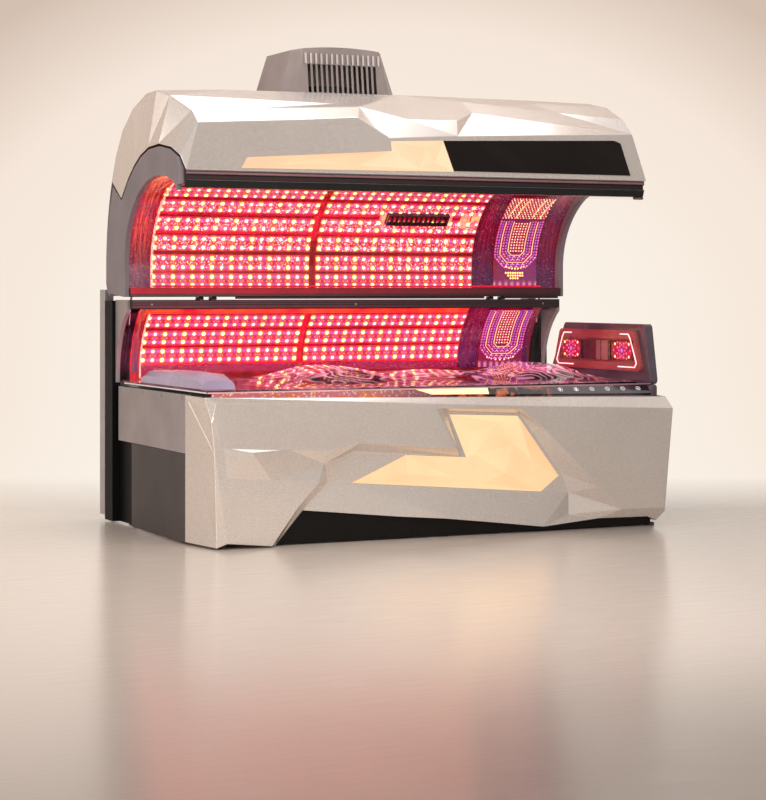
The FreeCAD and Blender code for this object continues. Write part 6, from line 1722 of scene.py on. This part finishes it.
@dataclass
class LampWall:
    """The fixed lamp wall between the bench and the seam rail."""

    radius: float = 0.368
    centre_back: float = 0.193
    centre_drop: float = 0.361
    seams: tuple[float, ...] = (0.737, 0.822, 0.904, 0.980)
    left: float = -1.030
    inner: float = 0.655

    def build(self, shop: Workshop) -> None:
        """Builds the wall's lamps, acrylic and end plates."""
        shop.softened("wall_acrylic", Palette.CLEAR, 0.0, flat=0.0)
        shop.softened("wall_end_plates", Palette.SIDE_UPPER, 0.002, flat=0.0)
        shop.dress(Palette.MIRROR, "wall_reflector")
        hinge = shop.middle("hinge_pins")
        wall = Wall(np.array([hinge[1] - self.centre_back, hinge[2] - self.centre_drop]), self.radius)
        angles = np.radians([wall.angle(height, STAND) for height in self.seams])
        line = wall.centre + (wall.radius + STAND) * np.stack([np.cos(angles), np.sin(angles)], axis=1)
        LampField("wall", "base", strips_on(line, BOARD_HEIGHT), field_ranges(shop, "wall_led_modules"),
                  Palette.BOARD, ("wall_led_modules",)).build(shop)
        section = wall.between(0.700, 0.990, STAND)
        face = FaceTanner(shop, "wall_face", "base", "wall_face_panel", section, 0.048,
                          section.length[-1] - 0.006)
        face.build()
        face.amber_row(7, 0.15, 0.014)
        self._glow(shop, wall)

    def _glow(self, shop: Workshop, wall: Wall) -> None:
        """Light that gathers at the field's ends, under the rail and above the bench."""
        mirror = wall.between(0.700, 1.000, MIRROR_STAND)
        end = mirror.length[-1]
        dim = [mirror.plate(0.662, 0.772, 0.0, end, 0.0), mirror.plate(1.028, 1.066, 0.0, end, 0.0)]
        for label, plate, finish in (
                ("left_end", mirror.plate(-1.066, self.left, 0.0, end, 0.0), Palette.END_GLOW),
                ("right_end", dim, Palette.DIM_GLOW),
                ("top", mirror.plate(self.left, self.inner, end - 0.030, end, 0.002), Palette.ORANGE_LINE),
                ("foot", mirror.plate(self.left, self.inner, 0.0, 0.034, 0.002), Palette.STREAKS)):
            shop.piece(f"wall_{label}_glow", plate, finish, "base", "lamp_reflector")
        face = wall.between(0.675, 0.984, 0.0)
        edge = face.stripe(-1.033, 0.0, face.length[-1], 0.0008, 0.008)
        shop.piece("wall_edge_light", edge, Palette.EDGE_LIGHT, "base", "clear_acrylic")


@dataclass
class Bench:
    """The tip-up bench: frame, moulded acrylic, foot rest, and the lamps under it."""

    pitch: float = 0.155
    inset: float = 0.004
    hinge_side: float = 0.08

    def build(self, shop: Workshop) -> None:
        """Builds the bench and its lamps."""
        shop.softened("bench_acrylic", Palette.BENCH_CLEAR, 0.0, flat=0.0, crease=40.0)
        shop.softened("bench_frame", Palette.RAIL, 0.001)
        self._rim(shop)
        shop.softened("foot_rest", Palette.REST, 0.012, flat=0.2, segments=3)
        shop.dress(Palette.TRAY, "bench_lamp_tray")
        low, high = shop.span("bench_led_modules")
        count = int((high[1] - low[1] - BOARD_HEIGHT) / self.pitch + 1.5)
        along = np.array([1.0, 0.0])
        strips = [Strip(np.array([low[1] + number * self.pitch, high[2]]), along, BOARD_HEIGHT)
                  for number in range(count)]
        LampField("bench", "base", strips, ((low[0], high[0]),), Palette.BENCH_BOARD,
                  ("bench_led_modules",)).build(shop)

    def _rim(self, shop: Workshop) -> None:
        """A lit line along the frame's front edge, and a pale strip along its foot end, a painted
        highlight.
        """
        low, high = shop.span("bench_frame")
        ends = (low[0] + self.inset, high[0] - self.inset)
        Trim("bench_rim_light", Palette.BENCH_RIM, (-0.0008, -0.0015), (-0.0008, -0.0075),
             RAIL_BEVEL).lay(shop, "bench", ends, np.array([low[1], high[2]]))
        # Painted highlight: a pale strip along the frame's foot-end edge.
        section = rectangle(low[1], high[1] - self.hinge_side, high[2] - 0.007, high[2] - 0.001)
        shop.piece("bench_end_highlight", prism(section, low[0] + 0.0004, low[0] - 0.0010), Palette.FOOT_END_HIGHLIGHT,
                   "bench", "dark_rail", bevel=RAIL_BEVEL)


@dataclass
class ShoulderTanner:
    """The lamp pod at the head end; its lamps' places are Y and Z from each lamp's middle."""

    half: float = 0.238
    petals: int = 8
    ground_half: tuple[float, float] = (0.086, 0.042)
    ground_power: float = 0.45
    light_width: float = 0.005

    corners = ((0.062, 0.03), (-0.062, 0.03), (0.062, -0.03), (-0.062, -0.03))
    sides = ((0.074, 0.0), (-0.074, 0.0), (0.04, 0.038), (-0.04, 0.038), (0.04, -0.038), (-0.04, -0.038))
    bars = ((-0.132, -0.112), (-0.052, -0.044), (0.048, 0.056), (0.112, 0.132))

    def build(self, shop: Workshop) -> None:
        """Builds the pod's shell, face, window and lamps."""
        shop.softened("shoulder_shell", Palette.POD, 0.014, flat=0.2, segments=4)
        shop.softened("shoulder_face", Palette.POD_FACE, 0.005, flat=0.2, segments=3)
        shop.dress(Palette.POD_WINDOW, "shoulder_lamps")
        face = shop.span("shoulder_lamps")[0][0]
        centre = shop.middle("shoulder_lamps")
        lamps = [np.array([face, centre[1] + sign * self.half, centre[2]]) for sign in (-1, 1)]
        turn = np.linspace(0, 2 * math.pi, self.petals, endpoint=False)
        ring = np.column_stack([0.044 * np.cos(turn + 0.4), 0.036 * np.sin(turn + 0.4)])
        for label, finish, spots, radius in (
                ("core", Palette.VIOLET, ((0.0, 0.0),), 0.013),
                ("petals", Palette.MAGENTA, 0.026 * np.column_stack([np.cos(turn), np.sin(turn)]), 0.0062),
                ("ring", Palette.RED, ring, 0.0058),
                ("corners", Palette.AMBER, self.corners, 0.0078),
                ("sides", Palette.RED, self.sides, 0.005)):
            spot = np.array(spots)
            places = np.concatenate([lamp + np.column_stack([np.zeros(len(spot)), spot]) for lamp in lamps])
            normals = np.tile([-1.0, 0.0, 0.0], (len(places), 1))
            lenses = scattered(dome(2, 10, 0.3), places, normals, np.full(len(places), radius))
            shop.piece(f"shoulder_{label}", lenses, finish, "base", "face_boards", smooth=True)
        self._grounds(shop, lamps)
        self._lines(shop)

    def _grounds(self, shop: Workshop, lamps: list[Array]) -> None:
        """The lamps' lit grounds, and the bars and panes that divide the window between them."""
        turn = np.linspace(0, 2 * math.pi, 32, endpoint=False)
        shape = np.column_stack([half * np.sign(wave) * np.abs(wave) ** self.ground_power
                                 for half, wave in zip(self.ground_half, (np.cos(turn), np.sin(turn)))])
        grounds = [prism(lamp[1:] + shape, lamp[0], lamp[0] - 0.0008) for lamp in lamps]
        shop.piece("shoulder_grounds", grounds, Palette.POD_GROUND, "base", "face_boards")
        face = lamps[0][0]
        low, high = lamps[0][2] - 0.048, lamps[0][2] + 0.046
        centre = (lamps[0][1] + lamps[1][1]) / 2
        bars = [prism(rectangle(centre + near, centre + far, low, high), face, face - 0.003)
                for near, far in self.bars]
        shop.piece("shoulder_bars", bars, Palette.POD_BARS, "base", "dark_casing",
                   bevel=0.0008)
        for label, finish, near, far in (("dark", Palette.POD_WINDOW, 0.0, 0.111),
                                         ("pale", Palette.POD_PANE, -0.111, 0.0)):
            pane = prism(rectangle(centre + near, centre + far, low, high), face, face - 0.0015)
            shop.piece(f"shoulder_{label}_pane", pane, finish, "base", "dark_casing")

    def _lines(self, shop: Workshop) -> None:
        """A light line round each end of the face: along the top, down the side and back below."""
        low, high = shop.span("shoulder_face")
        middle = (low[1] + high[1]) / 2
        bottom, top = low[2] + 0.018, high[2] - 0.018
        wide = (high[1] - low[1]) / 2 - 0.022
        narrow = wide - 0.062
        corners = ((narrow - 0.09, top), (narrow - 0.016, top), (narrow, top - 0.02),
                   (wide - 0.006, bottom + 0.02), (wide - 0.022, bottom), (wide - 0.17, bottom))
        path = dense(np.array(corners), 0.02)
        face = np.full(len(path), low[0])
        normals = np.tile([-1.0, 0.0, 0.0], (len(path), 1))
        lines = [ribbon(np.stack([face, middle + sign * path[:, 0], path[:, 1]], axis=1), normals,
                        self.light_width, 0.0025) for sign in (-1, 1)]
        shop.piece("shoulder_light_lines", lines, Palette.WHITE_LINE, "base",
                   "red_diffuser")


# --- Studio ---


WARM_WHITE: Colour = (1.0, 0.965, 0.93)
COOL_WHITE: Colour = (0.98, 0.98, 1.0)


@dataclass(frozen=True)
class Softbox:
    """A square area light that faces its target; size is its side and power is in watts."""

    name: str
    place: Place
    target: Place
    size: float
    power: float
    colour: Colour = WARM_WHITE
    shines: bool = True

    def build(self) -> None:
        """Hangs the light; where it doesn't shine, glossy surfaces don't show it."""
        light = bpy.data.lights.new(self.name, "AREA")
        light.size = self.size
        light.energy = self.power
        light.color = self.colour
        lamp = bpy.data.objects.new(self.name, light)
        lamp.location = self.place
        x, y, z = np.array(self.target) - np.array(self.place)
        lamp.rotation_euler = (math.atan2(math.hypot(x, y), -z), 0.0, math.atan2(-x, y))
        lamp.visible_camera = False
        lamp.visible_glossy = self.shines
        bpy.context.scene.collection.objects.link(lamp)


@dataclass
class Studio:
    """Camera, floor, backdrop and soft lights."""

    eye: Place = (-4.2726, -9.0744, 1.092)
    turn: float = -25.2
    lens: float = 96.12
    rise: float = -0.138
    floor_size: float = 30.0
    wall_distance: float = 5.0
    wall_height: float = 9.0
    cove: float = 2.5

    lights = (
        Softbox("key", (-5.4, -3.6, 1.3), (-0.2, -0.4, 0.4), 1.8, 120.0),
        Softbox("front", (-0.3, -3.6, 2.3), (0.0, -0.7, 0.5), 2.2, 100.0, shines=False),
        Softbox("fill", (0.2, 0.4, 5.0), (0.0, 0.0, 1.0), 3.2, 24.0, COOL_WHITE, shines=False),
        Softbox("top", (0.2, 0.4, 4.6), (0.0, 0.0, 1.0), 3.2, 76.0, COOL_WHITE),
        Softbox("right", (4.6, -3.0, 1.5), (0.3, 0.0, 0.5), 1.8, 45.0, shines=False),
        Softbox("rim", (-4.6, 1.6, 2.6), (-0.8, 0.2, 1.3), 2.0, 60.0, (1.0, 0.97, 0.95)),
    )

    def build(self, shop: Workshop) -> None:
        """Sets the view, the world, the stage and the lamps."""
        scene = bpy.context.scene
        scene.view_settings.view_transform = "Standard"
        camera = bpy.data.objects.new("camera", bpy.data.cameras.new("camera"))
        camera.location = self.eye
        camera.rotation_euler = (math.radians(90), 0.0, math.radians(self.turn))
        camera.data.lens = self.lens
        camera.data.shift_y = self.rise
        camera.data.clip_end = 100.0
        scene.collection.objects.link(camera)
        scene.camera = camera
        self._world(scene)
        self._stage()
        for light in self.lights:
            light.build()

    @staticmethod
    def _world(scene: bpy.types.Scene) -> None:
        """A warm grey surround, darkest ahead on the right and bright straight overhead."""
        world = bpy.data.worlds.new("surround")
        world.use_nodes = True
        scene.world = world
        graph = Graph(world.node_tree)
        aside, back, up = graph.split(graph.node("TexCoord").outputs["Generated"])
        low = graph.mix(graph.span(aside, 0.3, 0.62), shade(255, 250, 245), shade(84, 78, 75))
        front = graph.mix(graph.span(up, 0.15, 0.55), low, shade(142, 135, 130))
        level = graph.mix(graph.span(back, -0.6, 0.2), front, shade(222, 214, 208))
        colour = graph.mix(graph.span(up, 0.7, 0.95), level, shade(255, 253, 251))
        light = graph.node("Background", {"Color": colour, "Strength": 0.8})
        graph.node("OutputWorld", {0: light.outputs[0]})

    def _stage(self) -> None:
        """A floor that curves up into a backdrop, square to the camera.

        The profile is a line on the floor, a quarter circle of radius cove and a line upwards,
        carried sideways.
        """
        angle = np.linspace(0, math.pi / 2, 17)
        start = self.wall_distance - self.cove
        run = np.concatenate([[-14.0, start - 0.5], start + self.cove * np.sin(angle),
                              [self.wall_distance]])
        rise = np.concatenate([[0.0, 0.0], self.cove * (1 - np.cos(angle)), [self.wall_height]])
        side = np.linspace(-self.floor_size / 2, self.floor_size / 2, 9)
        turn = math.radians(self.turn)
        ahead = np.array([-math.sin(turn), math.cos(turn)])
        right = np.array([math.cos(turn), math.sin(turn)])
        flat = run[:, None, None] * ahead + side[None, :, None] * right
        points = np.concatenate([flat, np.repeat(rise[:, None, None], len(side), axis=1)], axis=2)
        mesh = bpy.data.meshes.new("studio_sweep")
        mesh.from_pydata(points.reshape(-1, 3).tolist(), [], grid_faces(len(run), len(side)).tolist())
        for face in mesh.polygons:
            face.use_smooth = True
        sweep = bpy.data.objects.new("studio_sweep", mesh)
        mesh.materials.append(self._sweep_material())
        bpy.context.scene.collection.objects.link(sweep)

    def _sweep_material(self) -> Material:
        """A pale polished floor with painted shade towards the front right, and a cream backdrop behind the
        bed.

        Ahead is the distance along the view on the floor and aside is across it. The backdrop
        is a plain light for camera, glossy and transmission rays, with painted shade towards its corners.
        From behind the sweep is see-through.
        """
        material = bpy.data.materials.new("studio_sweep")
        material.use_nodes = True
        graph = Graph(material.node_tree)
        x, y, height = graph.split(graph.place())
        turn = math.radians(self.turn)
        ahead = graph.plus(graph.times(x, -math.sin(turn)),
                           graph.times(y, math.cos(turn)))
        aside = graph.plus(graph.times(x, math.cos(turn)),
                           graph.times(y, math.sin(turn)))
        # Painted shade: the floor's colour darkens towards the camera and to the right.
        near = graph.mix(graph.span(ahead, -5.6, -1.0), shade(166, 153, 144), shade(200, 186, 174))
        colour = graph.mix(graph.span(aside, -0.1, 1.4, 0.0, 0.75), near, shade(134, 125, 119))
        brush = graph.noise(3.0, 4, vector=graph.scaled(graph.place(), (1.5, 26.0, 1.0)))
        floor = graph.principled({
            "Base Color": colour, "Roughness": graph.span(brush, 0.3, 0.7, 0.16, 0.26),
            "Normal": graph.bump(brush, 0.06, 0.004)})
        # Painted shade: the backdrop darkens towards its sides and its top.
        side = graph.times(graph.math("POWER", graph.math("ABSOLUTE", aside), 2.0), 0.06)
        rise = graph.math("POWER", graph.math("MAXIMUM", graph.math("SUBTRACT", height, 0.8), 0.0), 2.0)
        corner = graph.plus(side, graph.times(rise, 0.12))
        ramp = graph.node("ValToRGB", {0: corner})
        tones = ((0.0, shade(253, 246, 235)), (0.36, shade(247, 234, 221)), (0.55, shade(245, 230, 217)),
                 (1.0, shade(212, 192, 177)))
        elements = ramp.color_ramp.elements
        for position, _ in tones[1:-1]:
            elements.new(position)
        for element, (position, tone) in zip(elements, tones):
            element.position, element.color = position, (*tone, 1.0)
        wall = graph.node("Emission", {"Color": ramp.outputs[0], "Strength": 1.0})
        dull = graph.node("BsdfDiffuse", {"Color": shade(214, 200, 188)})
        path = graph.node("LightPath")
        mirrored = graph.math("MAXIMUM", path.outputs["Is Glossy Ray"], path.outputs["Is Transmission Ray"])
        seen = graph.math("MAXIMUM", path.outputs["Is Camera Ray"], mirrored)
        mixed = graph.choice(graph.span(ahead, 0.6, 2.4), floor, graph.choice(seen, dull, wall))
        away = graph.node("NewGeometry").outputs["Backfacing"]
        one_sided = graph.choice(away, mixed, graph.node("BsdfTransparent"))
        graph.node("OutputMaterial", {0: one_sided.outputs[0]})
        return material


ASSEMBLIES = (Studio, Base, LampWall, Bench, ShoulderTanner, Canopy)


def main() -> None:
    """Loads the frame and builds every sub-assembly around it."""
    logging.basicConfig(level=logging.INFO, format="%(name)s: %(message)s")
    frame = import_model()
    shop = Workshop(frame)
    for assembly in ASSEMBLIES:
        assembly().build(shop)


if __name__ == "__main__":
    main()
